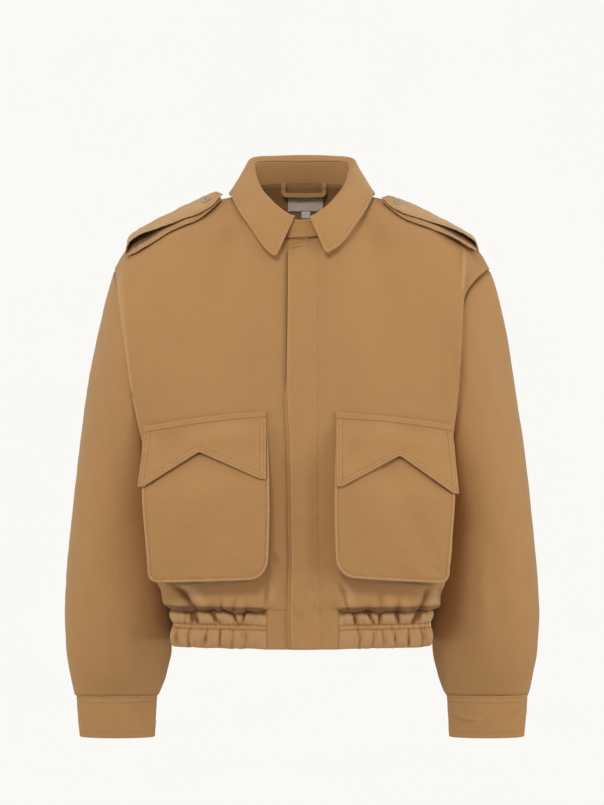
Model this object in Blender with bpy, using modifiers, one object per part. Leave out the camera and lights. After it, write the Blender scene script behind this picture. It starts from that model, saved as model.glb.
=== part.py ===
"""Pilot jacket: a cropped cotton-twill blouson, filled out with no wearer.

It has a pointed collar on a stand, doubled epaulettes, a covered front fastening, two bellows pockets
with notched flaps, full drop-shoulder sleeves on straight cuffs, and a hem band gathered on elastic.

The front faces -Y and the wearer's left is +X. The origin is at the base of the neck, level with the
shoulders, where the wearer holds the jacket up. Sizes in the tables are millimetres.

A panel is a net of columns and rows. Columns run from the centre line (0) over the corner of the
chest (FOLD) to the armhole (RING) and, below the armpit, on to the side seam (SIDE).
"""

from collections import namedtuple
from math import pi

import bpy
import numpy as np
from mathutils import Vector
from mathutils.bvhtree import BVHTree

MM = 0.001
OBJECT = "pilot_jacket"

# Cloth, in millimetres
PANEL = 1.5  # one layer of heavy twill with its turnings
DOUBLE = 2.2  # cuffs, collar, straps and bands, which are two layers
TRIM = 1.2
SEAM = 0.3  # between two pieces that are sewn together

# Columns of a panel's net
NECK, FOLD, RING, SIDE = 2.4, 8, 10, 12
PANEL_COLUMNS = [0, 0.6, 1.2, 1.8, NECK, 3.7, 5.0, 6.1, 7.1, FOLD, 9, RING, 11, SIDE]
RING_STEPS = 22  # round the armhole, from the side seam over the front, the shoulder and the back
RAMP = RING_STEPS // 2 - 2  # steps of the armhole that are a panel's own upright edge

# Heights
ARMPIT_Z = -345
BODY_HEM_Z = -566
HEM_Z = -619
ELBOW_Z = -470
CUFF_SEAM_Z = -694
CUFF_END_Z = -752
BODY_ROWS = [BODY_HEM_Z, -557, -545, -526, -500, -470, -440, -408, -375, ARMPIT_Z]

LEFT, RIGHT = 1, -1  # the wearer's
SIDE_NAMES = {LEFT: "left", RIGHT: "right"}

# Level sections of the body: a corner in front of the arm, a side pressed in by it, a corner behind
Level = namedtuple("Level", "z front_y left_x right_x corner_y side_x back_x back_corner_y back_y")
BODY = [
    Level(BODY_HEM_Z, -111, 173, 174, -68, 168, 168, 72, 106),
    Level(-556, -119, 181, 182, -75, 171, 175, 80, 113),
    Level(-542, -124, 189, 191, -80, 174, 183, 86, 119),
    Level(-515, -127, 198, 202, -84, 176, 190, 90, 123),
    Level(-460, -127, 203, 210, -85, 177, 192, 90, 122),
    Level(-400, -126, 203, 213, -85, 180, 193, 89, 120),
    Level(-370, -125, 203, 215, -85, 186, 196, 88, 119),
    Level(ARMPIT_Z, -124, 203, 216, -85, 195, 199, 87, 118),
]

# The neck seam, from the centre front to the centre back, and the top of the collar stand
Neck = namedtuple("Neck", "x y z stand_x stand_y stand_z roll_x roll_y roll_z edge_x edge_y edge_z")
NECKLINE = [
    Neck(0, -90, -72, 0, -89, -44, 11, -94, -40, 36, -112, -96),
    Neck(28, -86, -66, 26, -83, -35, 28, -86, -29, 50, -104, -83),
    Neck(52, -68, -46, 45, -60, -14, 47, -62, -9, 67, -86, -58),
    Neck(67, -38, -22, 57, -30, 5, 59, -31, 9, 86, -48, -29),
    Neck(74, 6, -1, 63, 4, 25, 66, 4, 31, 103, 2, -1),
    Neck(64, 42, 11, 61, 38, 43, 65, 41, 53, 99, 50, -1),
    Neck(36, 60, 16, 35, 56, 47, 37, 60, 57, 58, 80, 5),
    Neck(0, 64, 17, 0, 60, 47, 0, 63, 58, 0, 90, 9),
]
HPS = 4  # the row at the shoulder seam's neck end

STAND_OVERLAP, STAND_UNDERLAP = 20, 10  # how far its ends pass the middle of the front
LEAF_START = 0.95  # how far round the stand the leaf is sewn on

# The shoulder seam, from the neck to the top of the armhole
Shoulder = namedtuple("Shoulder", "x y z")
SHOULDER = [
    Shoulder(74, 6, -1),
    Shoulder(92, 5, -5),
    Shoulder(110, 4, -9),
    Shoulder(147, 3, -20),
    Shoulder(176, 3, -34),
    Shoulder(208, 3, -52),
    Shoulder(234, 4, -70),
    Shoulder(250, 5, -90),
    Shoulder(258, 5, -105),
]

# The armhole, by its step from the side seam. The wearer's left one is set back behind a fold.
Armhole = namedtuple("Armhole", "step left_x left_y left_z right_x right_y right_z")
ARMHOLE = [
    Armhole(0, 195, 4, -345, 195, 4, -345),
    Armhole(2, 202, -54, -334, 211, -68, -331),
    Armhole(4, 204, -67, -286, 222, -89, -286),
    Armhole(6, 206, -67, -228, 229, -90, -229),
    Armhole(8, 213, -61, -172, 237, -76, -174),
    Armhole(9.5, 231, -40, -132, 246, -44, -133),
    Armhole(11, 258, 5, -105, 258, 5, -105),
    Armhole(12.5, 249, 52, -131, 249, 52, -131),
    Armhole(14, 240, 80, -172, 240, 80, -172),
    Armhole(16, 229, 97, -228, 229, 97, -228),
    Armhole(18, 219, 99, -286, 219, 99, -286),
    Armhole(20, 205, 72, -334, 205, 72, -334),
    Armhole(22, 195, 4, -345, 195, 4, -345),
]

# The fold that stands in front of the armhole, by its share of the way up from the armpit
Fold = namedtuple("Fold", "up left_x left_y left_z right_x right_y right_z")
CHEST_FOLD = [
    Fold(0.0, 203, -85, -345, 216, -85, -345),
    Fold(0.2, 206, -97, -288, 226, -98, -289),
    Fold(0.4, 209, -100, -228, 233, -99, -232),
    Fold(0.6, 212, -93, -170, 240, -87, -180),
    Fold(0.8, 216, -66, -112, 248, -54, -134),
    Fold(1.0, 220, 3, -60, 252, 5, -94),
]

# Level sections of a sleeve below the elbow; the cuff's are the last two
Oval = namedtuple("Oval", "z centre_x centre_y half_width half_depth")
SLEEVE = [
    Oval(ELBOW_Z, 248.5, 22, 68.0, 82),
    Oval(-510, 250.5, 21, 70.5, 79),
    Oval(-550, 251.8, 20, 72.8, 74),
    Oval(-585, 252.8, 19, 74.2, 68),
    Oval(-615, 253.6, 18, 72.8, 61),
    Oval(-640, 253.8, 17, 70.5, 53),
    Oval(-660, 253.6, 16, 66.5, 45),
    Oval(-680, 254.0, 15, 60.5, 35),
    Oval(CUFF_SEAM_Z, 255.0, 14, 56.3, 27),
]
CUFF = [
    Oval(CUFF_SEAM_Z - SEAM, 255.0, 14, 55.6, 26),
    Oval(-716, 254.8, 14, 54.6, 25),
    Oval(CUFF_END_Z, 254.2, 14, 52.2, 22.5),
]

# The front opening
PLACKET_INNER_X, PLACKET_OUTER_X = -18, 26  # the free edge, and the edge sewn to the wearer's left front
PLACKET_TOP_Z = -73
PLACKET_LEAVES_Z = -530  # below this it runs straight on over the gathered hem
PLACKET_HEM_Y = -119
PLACKET_CLEARANCE = 0.9
PLACKET_HEIGHTS = [PLACKET_TOP_Z, -100, -130, -165, -205, -250, -300, -350, -400, -450, -500, -535, -565, -592, HEM_Z]
UNDER_FLY_XS = [-22, -12, -2]
UNDER_FLY_TOP_Z = -250  # above this the placket hides it
UNDER_FLY_CLEARANCE = 0.7
BAND_END_X = {LEFT: 50, RIGHT: -48}

# Hem band: two channels, by height
Channel = namedtuple("Channel", "z out gather")
HEM_BAND = [
    Channel(-566.1, 0.0, 1.2),
    Channel(-575, 3.0, 2.6),
    Channel(-586, 2.4, 2.2),
    Channel(-593.5, 0.0, 1.0),
    Channel(-606, 3.0, 2.4),
    Channel(HEM_Z, 0.4, 1.6),
]
GATHERS = 28
GATHER_COLUMNS = 4  # columns of the net in each gather

# A pocket's outline on the front, seen level. The rows run from the middle of the jacket outwards.
Pocket = namedtuple(
    "Pocket",
    "inner_x outer_x welt_inner_z welt_outer_z inner_tip_z outer_tip_z peak_x peak_z "
    "flap_inner_x flap_outer_x foot_inner_x foot_outer_x bottom_inner_z bottom_outer_z",
)
POCKET = {
    LEFT: Pocket(46, 202, -303, -320, -401, -411, 130, -360, 46, 209, 42, 190, -521, -531),
    RIGHT: Pocket(46, 211, -301, -322, -391, -402, 137, -355, 48, 219, 40, 195, -524, -530),
}
WELT_HEIGHT = 8
POCKET_MOUTH = 26  # below the welt's top edge, under the flap
POCKET_TOP_DEPTH, POCKET_DEPTH = 9, 25
POCKET_CORNER = 14
POCKET_FOOT_GAP = 1.5
FLAP_HINGE = 3.4  # from the panel to the flap's outer side at its top edge
FLAP_STAND = 3.4  # from the pocket's face to the flap
FLAP_SLOPE = 22  # the height over which the flap comes out over the pocket

# Epaulettes, from the point at the neck to the outer end. The lower strap's lift is from the shoulder,
# and the upper one's from the lower one.
Strap = namedtuple("Strap", "x back_y front_y back_lift front_lift")
LOWER_STRAP = [
    Strap(115, -10, -12, 1.4, 1.4),
    Strap(124, -1, -24, 1.4, 1.4),
    Strap(136, 0, -33, 1.4, 1.4),
    Strap(160, 0, -43, 1.5, 1.5),
    Strap(190, 0, -50, 1.7, 1.7),
    Strap(218, 0, -54, 2.6, 2.6),
    Strap(242, 0, -54, 5.6, 5.6),
]
UPPER_STRAP = [
    Strap(112, -7, -8, 0.7, 0.7),
    Strap(122, 6, -20, 0.7, 0.7),
    Strap(135, 9, -26, 0.7, 1.2),
    Strap(160, 10, -31, 0.7, 1.8),
    Strap(190, 10, -36, 0.7, 2.6),
    Strap(218, 10, -39, 0.9, 4.0),
    Strap(242, 9, -40, 1.6, 6.0),
]
STRAP_STATIONS = [112, 117, 124, 134, 148, 163, 178, 193, 208, 224, 242]
RIDGE_Y = 3  # of the shoulder seam
STRAP_SLOPE = 0.44  # a strap falls no faster than this towards its front edge
BUTTON_X, BUTTON_Y = 132, -8
BUTTON_RADIUS, BUTTON_HEIGHT = 5.8, 2.4

# Inside the back neck
LOOP_LEFT_X, LOOP_RIGHT_X = 31, -26
LOOP_TOP_Z, LOOP_BOTTOM_Z = 18.6, 1
LOOP_WIDTH = 6
LOOP_SEAM_Z = 12  # the top of the back's own surface beside the legs
LOOP_STAND = 6.5  # from the back's outer surface to the loop's front
LABEL_X, LABEL_WIDTH, LABEL_TOP_Z, LABEL_HEIGHT = 5, 49, -3.5, 17.5
TAB_X, TAB_WIDTH, TAB_HEIGHT = 5.5, 12, 9

TWILL = (0.479, 0.266, 0.108)
TWILL_LIGHT = (0.491, 0.292, 0.112)
LABEL_GREY = (0.33, 0.26, 0.21)
TAB_WHITE = (0.72, 0.68, 0.62)


# Curves ---------------------------------------------------------------------------------------------


def smooth(stations, values, at):
    """The values at the stations `at` of the smooth curve through the given rows."""
    s, v, at = np.asarray(stations, float), np.asarray(values, float), np.asarray(at, float)
    slopes = np.gradient(v, s, axis=0)
    i = np.clip(np.searchsorted(s, at, side="right") - 1, 0, len(s) - 2)
    step = s[i + 1] - s[i]
    t = np.clip((at - s[i]) / step, 0, 1)
    if v.ndim > 1:
        t, step = t[..., None], step[..., None]
    start, end = v[i], v[i + 1]
    bend = (t**3 - 2 * t**2 + t) * slopes[i] + (t**3 - t**2) * slopes[i + 1]
    return start + (3 * t**2 - 2 * t**3) * (end - start) + bend * step


def row_at(table, at):
    """A table's columns at `at`, which is measured in its first column."""
    first = [row[0] for row in table]
    return type(table[0])(*np.moveaxis(smooth(first, table, at), -1, 0))


def bezier(p0, p1, p2, p3, t):
    return p0 * (1 - t) ** 3 + 3 * p1 * t * (1 - t) ** 2 + 3 * p2 * t**2 * (1 - t) + p3 * t**3


def ease(t):
    """0 to 1 with a level start and end."""
    t = np.clip(t, 0, 1)
    return t * t * (3 - 2 * t)


def points(x, y, z):
    return np.stack(np.broadcast_arrays(x, y, z), axis=-1).astype(float)


# The body's surface ---------------------------------------------------------------------------------


def level_section(is_front, side, column, z):
    """The body's outer surface below the armpit, for x on the positive side."""
    row = row_at(BODY, z)
    if is_front:
        corner_x = row.left_x if side == LEFT else row.right_x
        corner_y, centre_y = row.corner_y, row.front_y
    else:
        corner_x, corner_y, centre_y = row.back_x, row.back_corner_y, row.back_y
    side_y = 4
    t = np.clip(column / FOLD, 0, 1)
    x = bezier(0, 0.7 * corner_x, corner_x, corner_x, t)
    y = bezier(centre_y, centre_y, corner_y + 0.55 * (centre_y - corner_y), corner_y, t)
    s = np.clip((column - FOLD) / (SIDE - FOLD), 0, 1)
    reach = side_y - corner_y
    side_line_x = bezier(corner_x, corner_x, row.side_x, row.side_x, s)
    side_line_y = bezier(corner_y, corner_y + 0.2 * reach, side_y - 0.7 * reach, side_y, s)
    beyond = column > FOLD
    return points(np.where(beyond, side_line_x, x), np.where(beyond, side_line_y, y), z)


def armhole(side, step):
    """A point of the armhole seam, by its step round from the side seam."""
    name = SIDE_NAMES[side]
    rows = [[getattr(row, f"{name}_{axis}") for axis in "xyz"] for row in ARMHOLE]
    steps = [row.step for row in ARMHOLE]
    rows = [rows[-2], *rows, rows[1]]
    steps = [steps[-2] - RING_STEPS, *steps, steps[1] + RING_STEPS]
    return smooth(steps, rows, step)


def fold_top_x(side):
    return CHEST_FOLD[-1].left_x if side == LEFT else CHEST_FOLD[-1].right_x


def top_edge(is_front, side, column):
    """The neck seam as far as column NECK, and then the shoulder seam."""
    share = np.clip(column / NECK, 0, 1)
    last = len(NECKLINE) - 1
    station = HPS * share if is_front else last + (HPS - last) * share
    neck = smooth(np.arange(len(NECKLINE)), [row[:3] for row in NECKLINE], station)
    stations = [NECK, FOLD, RING]
    x = np.interp(column, stations, [SHOULDER[0].x, fold_top_x(side), SHOULDER[-1].x])
    shoulder = smooth([row.x for row in SHOULDER], SHOULDER, x)
    return np.where((column < NECK)[..., None], neck, shoulder)


def chest_column(is_front, side, column, up):
    """A column of the body above the armpit, `up` 0 at the armpit and 1 at the neck or shoulder."""
    foot = level_section(is_front, side, column, np.full_like(column, ARMPIT_Z))
    lower = level_section(is_front, side, column, np.full_like(column, ARMPIT_Z - 8.0))
    rise = (foot - lower) / 8
    head = top_edge(is_front, side, column)
    height = (head - foot)[..., 2:]
    forward = -1 if is_front else 1
    share = ease(column / NECK)[..., None]
    at_neck = np.array([0, -0.30 * forward, 0.95])
    at_shoulder = np.array([0, -0.95 * forward, 0.30])
    arrive = at_neck * (1 - share) + at_shoulder * share
    reach = 0.33 * height * (1 - share) + 74 * share
    return bezier(foot, foot + rise * 0.38 * height, head - arrive * reach, head, up[..., None])


def fold_line(is_front, side, up):
    """The line in front of the armhole, or behind it, that a panel's column FOLD follows."""
    ends = np.array([0.0, 1.0])
    ends = chest_column(is_front, side, np.full(2, float(FOLD)), ends)
    if is_front:
        name = SIDE_NAMES[side]
        rows = [[getattr(row, f"{name}_{axis}") for axis in "xyz"] for row in CHEST_FOLD]
        rows[0], rows[-1] = ends
        return smooth([row.up for row in CHEST_FOLD], rows, up)
    step = RING_STEPS - 2 - RAMP * up
    seam, foot, tip = armhole(side, step), armhole(side, RING_STEPS - 2), armhole(side, RING_STEPS / 2)
    lean = np.array([-4.0, 9.0, 0.0]) * np.sin(pi * up)[..., None]
    at_foot = (ends[0] - foot) * ((1 - up) ** 2)[..., None]
    return seam + lean + at_foot + (ends[1] - tip) * (up**2)[..., None]


def body_point(is_front, side, column, up):
    """The body's outer surface. `up` is a height in mm below the armpit, and 0 to 1 above it."""
    column, up = np.broadcast_arrays(np.asarray(column, float), np.asarray(up, float))
    below = up < 0
    low = lower_body(is_front, side, column, np.where(below, up, ARMPIT_Z))
    high = upper_body(is_front, side, np.minimum(column, RING), np.where(below, 0.0, up))
    place = np.where(below[..., None], low, high)
    return place * [side, 1, 1]


def lower_body(is_front, side, column, z):
    """Below the armpit, where the top of the side is drawn up into the armhole."""
    place = level_section(is_front, side, column, z)
    steps = SIDE - np.clip(column, RING, SIDE)
    target = armhole(side, steps if is_front else RING_STEPS - steps)
    at_top = level_section(is_front, side, np.clip(column, RING, SIDE), np.full_like(column, ARMPIT_Z))
    share = np.clip((column - FOLD) / (RING - FOLD), 0, 1) * ease((z - ARMPIT_Z + 70) / 70)
    return place + (target - at_top) * share[..., None]


def upper_body(is_front, side, column, up):
    """Above the armpit: out to the fold line, and from it back to the armhole."""
    inner = np.minimum(column, FOLD)
    fold = fold_line(is_front, side, up)
    last = np.full_like(column, float(FOLD))
    pull = ((inner / FOLD) ** 2)[..., None]
    chest = chest_column(is_front, side, inner, up)
    chest = chest + (fold - chest_column(is_front, side, last, up)) * pull
    near = chest_column(is_front, side, last - 0.4, up)
    near = near + (fold - chest_column(is_front, side, last, up)) * ((FOLD - 0.4) / FOLD) ** 2
    along = fold - near
    along = along / np.linalg.norm(along, axis=-1, keepdims=True)
    step = 2 + RAMP * up if is_front else RING_STEPS - 2 - RAMP * up
    seam = armhole(side, step)
    width = np.linalg.norm(seam - fold, axis=-1, keepdims=True)
    bulge = fold + along * 0.45 * width
    t = np.clip((column - FOLD) / (RING - FOLD), 0, 1)[..., None]
    strip = fold * (1 - t) ** 2 + 2 * bulge * t * (1 - t) + seam * t**2
    strip_top = top_edge(is_front, side, column)
    strip = strip + (strip_top - strip) * ease((up - 0.9) * 10)[..., None]
    return np.where((column > FOLD)[..., None], strip, chest)


# Nets of points --------------------------------------------------------------------------------------


class Net:
    """An open sheet of four-sided faces: points in millimetres, and faces that look outwards."""

    def __init__(self, places, faces, from_inside):
        self.places = np.array(places, float)
        self.faces = [tuple(face) for face in faces]
        centres = np.array([self.places[list(f)].mean(0) for f in self.faces])
        outwards = (self.face_normals() * (centres - from_inside(centres))).sum()
        if outwards < 0:
            self.faces = [face[::-1] for face in self.faces]
        self.normals = self.point_normals()

    def face_normals(self):
        """Each face's normal, as long as its area."""
        corners = np.array([[self.places[i] for i in (f[0], f[1], f[2], f[-1])] for f in self.faces])
        return np.cross(corners[:, 2] - corners[:, 0], corners[:, 3] - corners[:, 1]) / 2

    def point_normals(self):
        total = np.zeros_like(self.places)
        for face, normal in zip(self.faces, self.face_normals()):
            for i in set(face):
                total[i] += normal
        return total / np.maximum(np.linalg.norm(total, axis=1, keepdims=True), 1e-9)

    def edge_uses(self):
        """How many faces share each edge, by its two points."""
        uses = {}
        for face in self.faces:
            for a, b in zip(face, face[1:] + face[:1]):
                if a != b:
                    uses[frozenset((a, b))] = uses.get(frozenset((a, b)), 0) + 1
        return uses

    def draw_in_edges(self, amount):
        """Moves the outer edges towards their faces, so that the seam beside them stays open."""
        on_edge = {i for edge, count in self.edge_uses().items() if count == 1 for i in edge}
        moved = self.places.copy()
        for i in on_edge:
            near = [self.places[list(face)].mean(0) for face in self.faces if i in face]
            towards = np.mean(near, axis=0) - self.places[i]
            moved[i] += towards / np.linalg.norm(towards) * amount
        self.places = moved


def grid_faces(columns, rows, closed=False):
    """The faces of a grid whose points run along each row in turn."""
    last = columns if closed else columns - 1
    faces = []
    for j in range(rows - 1):
        for i in range(last):
            right = (i + 1) % columns
            faces.append((j * columns + i, j * columns + right, (j + 1) * columns + right, (j + 1) * columns + i))
    return faces


def grid_net(places, from_inside, closed=False):
    """A net from an array of rows of points."""
    rows, columns = places.shape[:2]
    return Net(places.reshape(-1, 3), grid_faces(columns, rows, closed), from_inside)


def from_axis(x, y):
    """For a net that looks away from an upright line."""
    return lambda centres: centres * [0, 0, 1] + [x, y, 0]


def from_plane(direction):
    """For a net that looks along a direction."""
    return lambda centres: centres - np.array(direction, float)


def share_normals(nets):
    """Gives the points that nets have in common one normal, so that their walls meet squarely."""
    totals = {}
    for net in nets:
        for face, normal in zip(net.faces, net.face_normals()):
            for i in set(face):
                key = tuple(np.round(net.places[i], 2))
                totals[key] = totals.get(key, 0) + normal
    for net in nets:
        summed = np.array([totals[tuple(np.round(place, 2))] for place in net.places])
        net.normals = summed / np.maximum(np.linalg.norm(summed, axis=1, keepdims=True), 1e-9)


# Blender objects -------------------------------------------------------------------------------------


def material(name, colour, roughness=0.85):
    made = bpy.data.materials.get(name) or bpy.data.materials.new(name)
    made.use_nodes = True
    shader = made.node_tree.nodes["Principled BSDF"]
    shader.inputs["Base Color"].default_value = (*colour, 1)
    shader.inputs["Roughness"].default_value = roughness
    shader.inputs["Metallic"].default_value = 0
    made.diffuse_color = (*colour, 1)
    return made


def add_object(name, places, faces, colour, smooth_shaded=True):
    mesh = bpy.data.meshes.new(name)
    mesh.from_pydata([Vector(p) * MM for p in places], [], faces)
    mesh.validate()
    if smooth_shaded:
        mesh.shade_smooth()
        mesh.set_sharp_from_angle(angle=0.9)
    made = bpy.data.objects.new(name, mesh)
    bpy.data.collections[OBJECT].objects.link(made)
    mesh.materials.append(material(name, colour))
    return made


def add_wall(name, net, thickness, colour=TWILL):
    """A closed wall of cloth behind a net: the net, its copy moved inwards, and the rims between."""
    count = len(net.places)
    places = np.concatenate([net.places, net.places - net.normals * thickness])
    faces = [tuple(dict.fromkeys(face)) for face in net.faces]
    back = [tuple(i + count for i in face[::-1]) for face in faces]
    uses = net.edge_uses()
    rims = []
    for face in faces:
        for a, b in zip(face, face[1:] + face[:1]):
            if uses[frozenset((a, b))] == 1:
                rims.append((b, a, a + count, b + count))
    return add_object(name, places, faces + back + rims, colour)


# The body panels -------------------------------------------------------------------------------------


def panel_ups():
    """The rows of a panel: heights below the armpit, then shares of the way up from it."""
    return [*BODY_ROWS[:-1], *(j / RAMP for j in range(RAMP + 1))]


def panel_half(is_front, side):
    """Points and faces of half the body's front or back, with the armhole cut out of its corner."""
    ups = panel_ups()
    armpit_row = len(BODY_ROWS) - 1
    index, places, faces = {}, [], []
    for j, up in enumerate(ups):
        for i, column in enumerate(PANEL_COLUMNS):
            if column > RING and j > armpit_row:
                continue
            at = ARMPIT_Z if j == armpit_row else up
            index[i, j] = len(places)
            places.append(body_point(is_front, side, column, at))
    for (i, j) in index:
        corner = [(i, j), (i + 1, j), (i + 1, j + 1), (i, j + 1)]
        if all(key in index for key in corner):
            faces.append([index[key] for key in corner])
    return places, faces


def joined(halves):
    """One list of points and faces from several that share the points along their seams."""
    index, places, faces = {}, [], []
    for half_places, half_faces in halves:
        mapped = []
        for place in half_places:
            key = tuple(np.round(place, 3) + 0.0)
            if key not in index:
                index[key] = len(places)
                places.append(place)
            mapped.append(index[key])
        faces += [[mapped[i] for i in face] for face in half_faces]
    return places, faces


def body_nets():
    axis = from_axis(0, 0)
    nets = {}
    for side, name in SIDE_NAMES.items():
        nets[f"front_{name}"] = Net(*panel_half(True, side), axis)
    left, right = panel_half(False, LEFT), panel_half(False, RIGHT)
    right = right[0], [face[::-1] for face in right[1]]
    nets["back"] = Net(*joined([left, right]), axis)
    return nets


# Sleeves ---------------------------------------------------------------------------------------------


def oval(table, side, step, z):
    """A point of a sleeve's level section, by its step round from the body's side."""
    row = row_at(table[::-1], z)
    turn = 2 * pi * step / RING_STEPS
    turn = turn + 0.16 * np.sin(2 * turn)
    x = row.centre_x - row.half_width * np.cos(turn)
    y = row.centre_y - row.half_depth * np.sin(turn)
    return points(x, y, z)


def sleeve_point(side, step, along):
    """A sleeve's outer surface: `along` 0 at the armhole, 1 at the elbow, and a height in mm below it."""
    step, along = np.broadcast_arrays(np.asarray(step, float), np.asarray(along, float))
    above = along >= 0
    elbow = oval(SLEEVE, side, step, np.full_like(step, ELBOW_Z))
    lower = oval(SLEEVE, side, step, np.full_like(step, ELBOW_Z - 8.0))
    fall = (lower - elbow) / 8
    start = armhole(side, step) + [0.4, 0, 0]
    drop = (start - elbow)[..., 2:]
    turn = 2 * pi * step / RING_STEPS
    outward = (1 - np.cos(turn)) / 2
    leave = points(0.10 + 0.34 * outward, -0.10 * np.sin(turn), -0.98 + 0.05 * outward)
    upper = bezier(
        start, start + leave * 0.34 * drop, elbow - fall * 0.42 * drop, elbow, np.clip(along, 0, 1)[..., None]
    )
    below = oval(SLEEVE, side, step, np.where(above, ELBOW_Z, along))
    return np.where(above[..., None], upper, below) * [side, 1, 1]


SLEEVE_ROWS = [0, 0.07, 0.18, 0.32, 0.48, 0.64, 0.82, ELBOW_Z, -508, -546, -582, -612, -636, -656, -674, CUFF_SEAM_Z]


def sleeve_net(side):
    steps = np.arange(RING_STEPS)
    rows = [sleeve_point(side, steps, along) for along in SLEEVE_ROWS]
    return grid_net(np.array(rows), from_axis(side * 250, 20), closed=True)


def add_cuff(side):
    steps = np.arange(RING_STEPS)
    heights = [CUFF[0].z, -722, CUFF_END_Z]
    rows = [oval(CUFF, side, steps, np.full(RING_STEPS, float(z))) * [side, 1, 1] for z in heights]
    net = grid_net(np.array(rows), from_axis(side * 254, 14), closed=True)
    add_wall(f"cuff_{SIDE_NAMES[side]}", net, DOUBLE, TWILL)


# Collar ----------------------------------------------------------------------------------------------


def round_neck(station, kind):
    """Points of the neckline table's given columns, station -7 to 7 from the wearer's right front."""
    columns = {"neck": slice(0, 3), "stand": slice(3, 6), "roll": slice(6, 9), "edge": slice(9, 12)}[kind]
    rows = np.array([row[columns] for row in NECKLINE], float)
    back = rows[-2] * [-1, 1, 1]
    last = len(NECKLINE) - 1
    stations = [*range(last + 1), last + 1]
    front = last - np.abs(station)
    place = smooth(stations, [*rows, back], front)
    place[..., 0] *= np.sign(station) + (station == 0)
    return place


def neck_seam(stations):
    """The neck seam as the panels have it, straight between their columns."""
    knots = [0, 0.75, 1.5, 2.25, 3, 4, 5, 6, 7]
    knots = np.array([-k for k in knots[:0:-1]] + knots, float)
    seam = round_neck(knots, "neck")
    return np.stack([np.interp(stations, knots, seam[:, axis]) for axis in range(3)], axis=1)


def add_collar_stand():
    """The stand goes round the neck; its wearer's left end lies over the right one."""
    stations = np.array([0, 0.75, 1.5, 2.25, 3, 3.5, 4, 4.5, 5, 5.5, 6, 6.5, 7])
    stations = np.concatenate([-stations[:0:-1], stations])
    foot = neck_seam(stations) + [0, 0, SEAM + 0.1]
    top = round_neck(stations, "stand")
    top[:, 2] -= 2.2 * ease((np.abs(stations) - 5) / 1.5)
    rows = np.array([foot, (foot + top) / 2, top])
    overlap = ease((stations - 5.2) / 0.8)
    rows[:, :, 1] -= overlap * (DOUBLE + 1.0)
    rows[0, :, 2] += overlap * 3.2
    rows[:, -1, 0] -= STAND_OVERLAP
    rows[:, 0] += [STAND_UNDERLAP, 1.4, 3.2]
    net = grid_net(rows, from_axis(0, -10))
    add_wall("collar_stand", net, DOUBLE, TWILL_LIGHT)


def add_collar_leaf():
    """The leaf rises from the stand's top, rolls over and falls to its edge."""
    last = len(NECKLINE) - 1
    stations = np.linspace(-last, last, 27)
    stand = round_neck(stations * LEAF_START, "stand")
    roll, edge = round_neck(stations, "roll"), round_neck(stations, "edge")
    fall = edge - roll
    out = fall * [1, 1, 0]
    out = out / np.linalg.norm(out, axis=1, keepdims=True)
    lean = out * 6 + [0, 0, -1.5]
    up = np.array([0, 0, 1.0])
    inner = roll - out * 1.2
    start = stand - out * (DOUBLE + 0.3)
    level = np.linalg.norm((inner - start) * [1, 1, 0], axis=1) / np.linalg.norm(inner - start, axis=1)
    rows = [
        start + up * (0.6 + DOUBLE * level)[:, None],
        inner,
        roll + out * 3.2 - up * 0.6,
        roll + fall * 0.30 + lean,
        roll + fall * 0.64 + lean * 0.8,
        edge,
    ]
    net = grid_net(np.array(rows), from_axis(0, -10))
    add_wall("collar_leaf", net, DOUBLE, TWILL_LIGHT)


# What lies on the body -------------------------------------------------------------------------------


class Ground:
    """The body's outer surface as made, which the pieces on it are measured from."""

    def __init__(self, nets):
        places, faces = joined([(list(net.places), net.faces) for net in nets])
        self.tree = BVHTree.FromPolygons([Vector(p) for p in places], [list(f) for f in faces])

    def front(self, x, z):
        """The point of the front surface at x and z."""
        hit = self.tree.ray_cast(Vector((x, -400, z)), Vector((0, 1, 0)))[0]
        return np.array(hit)

    def top(self, x, y):
        """The point of the shoulders' surface at x and y."""
        hit = self.tree.ray_cast(Vector((x, y, 300)), Vector((0, 0, -1)))[0]
        return np.array(hit)

    def back_inside(self, x, z):
        """The point of the back's surface at x and z, from inside the neck."""
        hit = self.tree.ray_cast(Vector((x, 0, z)), Vector((0, 1, 0)))[0]
        return np.array(hit)


def placket_y(ground, x, z):
    """How far forward the front is under the placket, which leaves the body above the gathered hem."""
    if z > PLACKET_LEAVES_Z:
        return ground.front(x, z)[1]
    leaves_y = ground.front((PLACKET_INNER_X + PLACKET_OUTER_X) / 2, PLACKET_LEAVES_Z)[1]
    return np.interp(z, [HEM_Z, PLACKET_LEAVES_Z], [PLACKET_HEM_Y, leaves_y])


def add_placket(ground):
    """The covered fly, sewn to the wearer's left front. Its free edge stands off over the under-fly."""
    share = np.linspace(0, 1, 4)
    x = PLACKET_INNER_X + (PLACKET_OUTER_X - PLACKET_INNER_X) * share
    gap = SEAM + (TRIM + SEAM) * (1 - share) + PLACKET_CLEARANCE
    rows = []
    for z in PLACKET_HEIGHTS:
        y = np.array([placket_y(ground, each, z) for each in x])
        rows.append(points(x, y - gap - PANEL, z))
    add_wall("fly_placket", grid_net(np.array(rows), from_plane((0, -1, 0))), PANEL)


def add_under_fly(ground):
    """The wearer's right front's facing, whose edge shows beside the placket."""
    rows = []
    for z in [height for height in PLACKET_HEIGHTS if height <= UNDER_FLY_TOP_Z]:
        y = np.array([placket_y(ground, each, z) for each in UNDER_FLY_XS])
        rows.append(points(UNDER_FLY_XS, y - TRIM - UNDER_FLY_CLEARANCE, z))
    add_wall("under_fly", grid_net(np.array(rows), from_plane((0, -1, 0))), TRIM)


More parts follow.
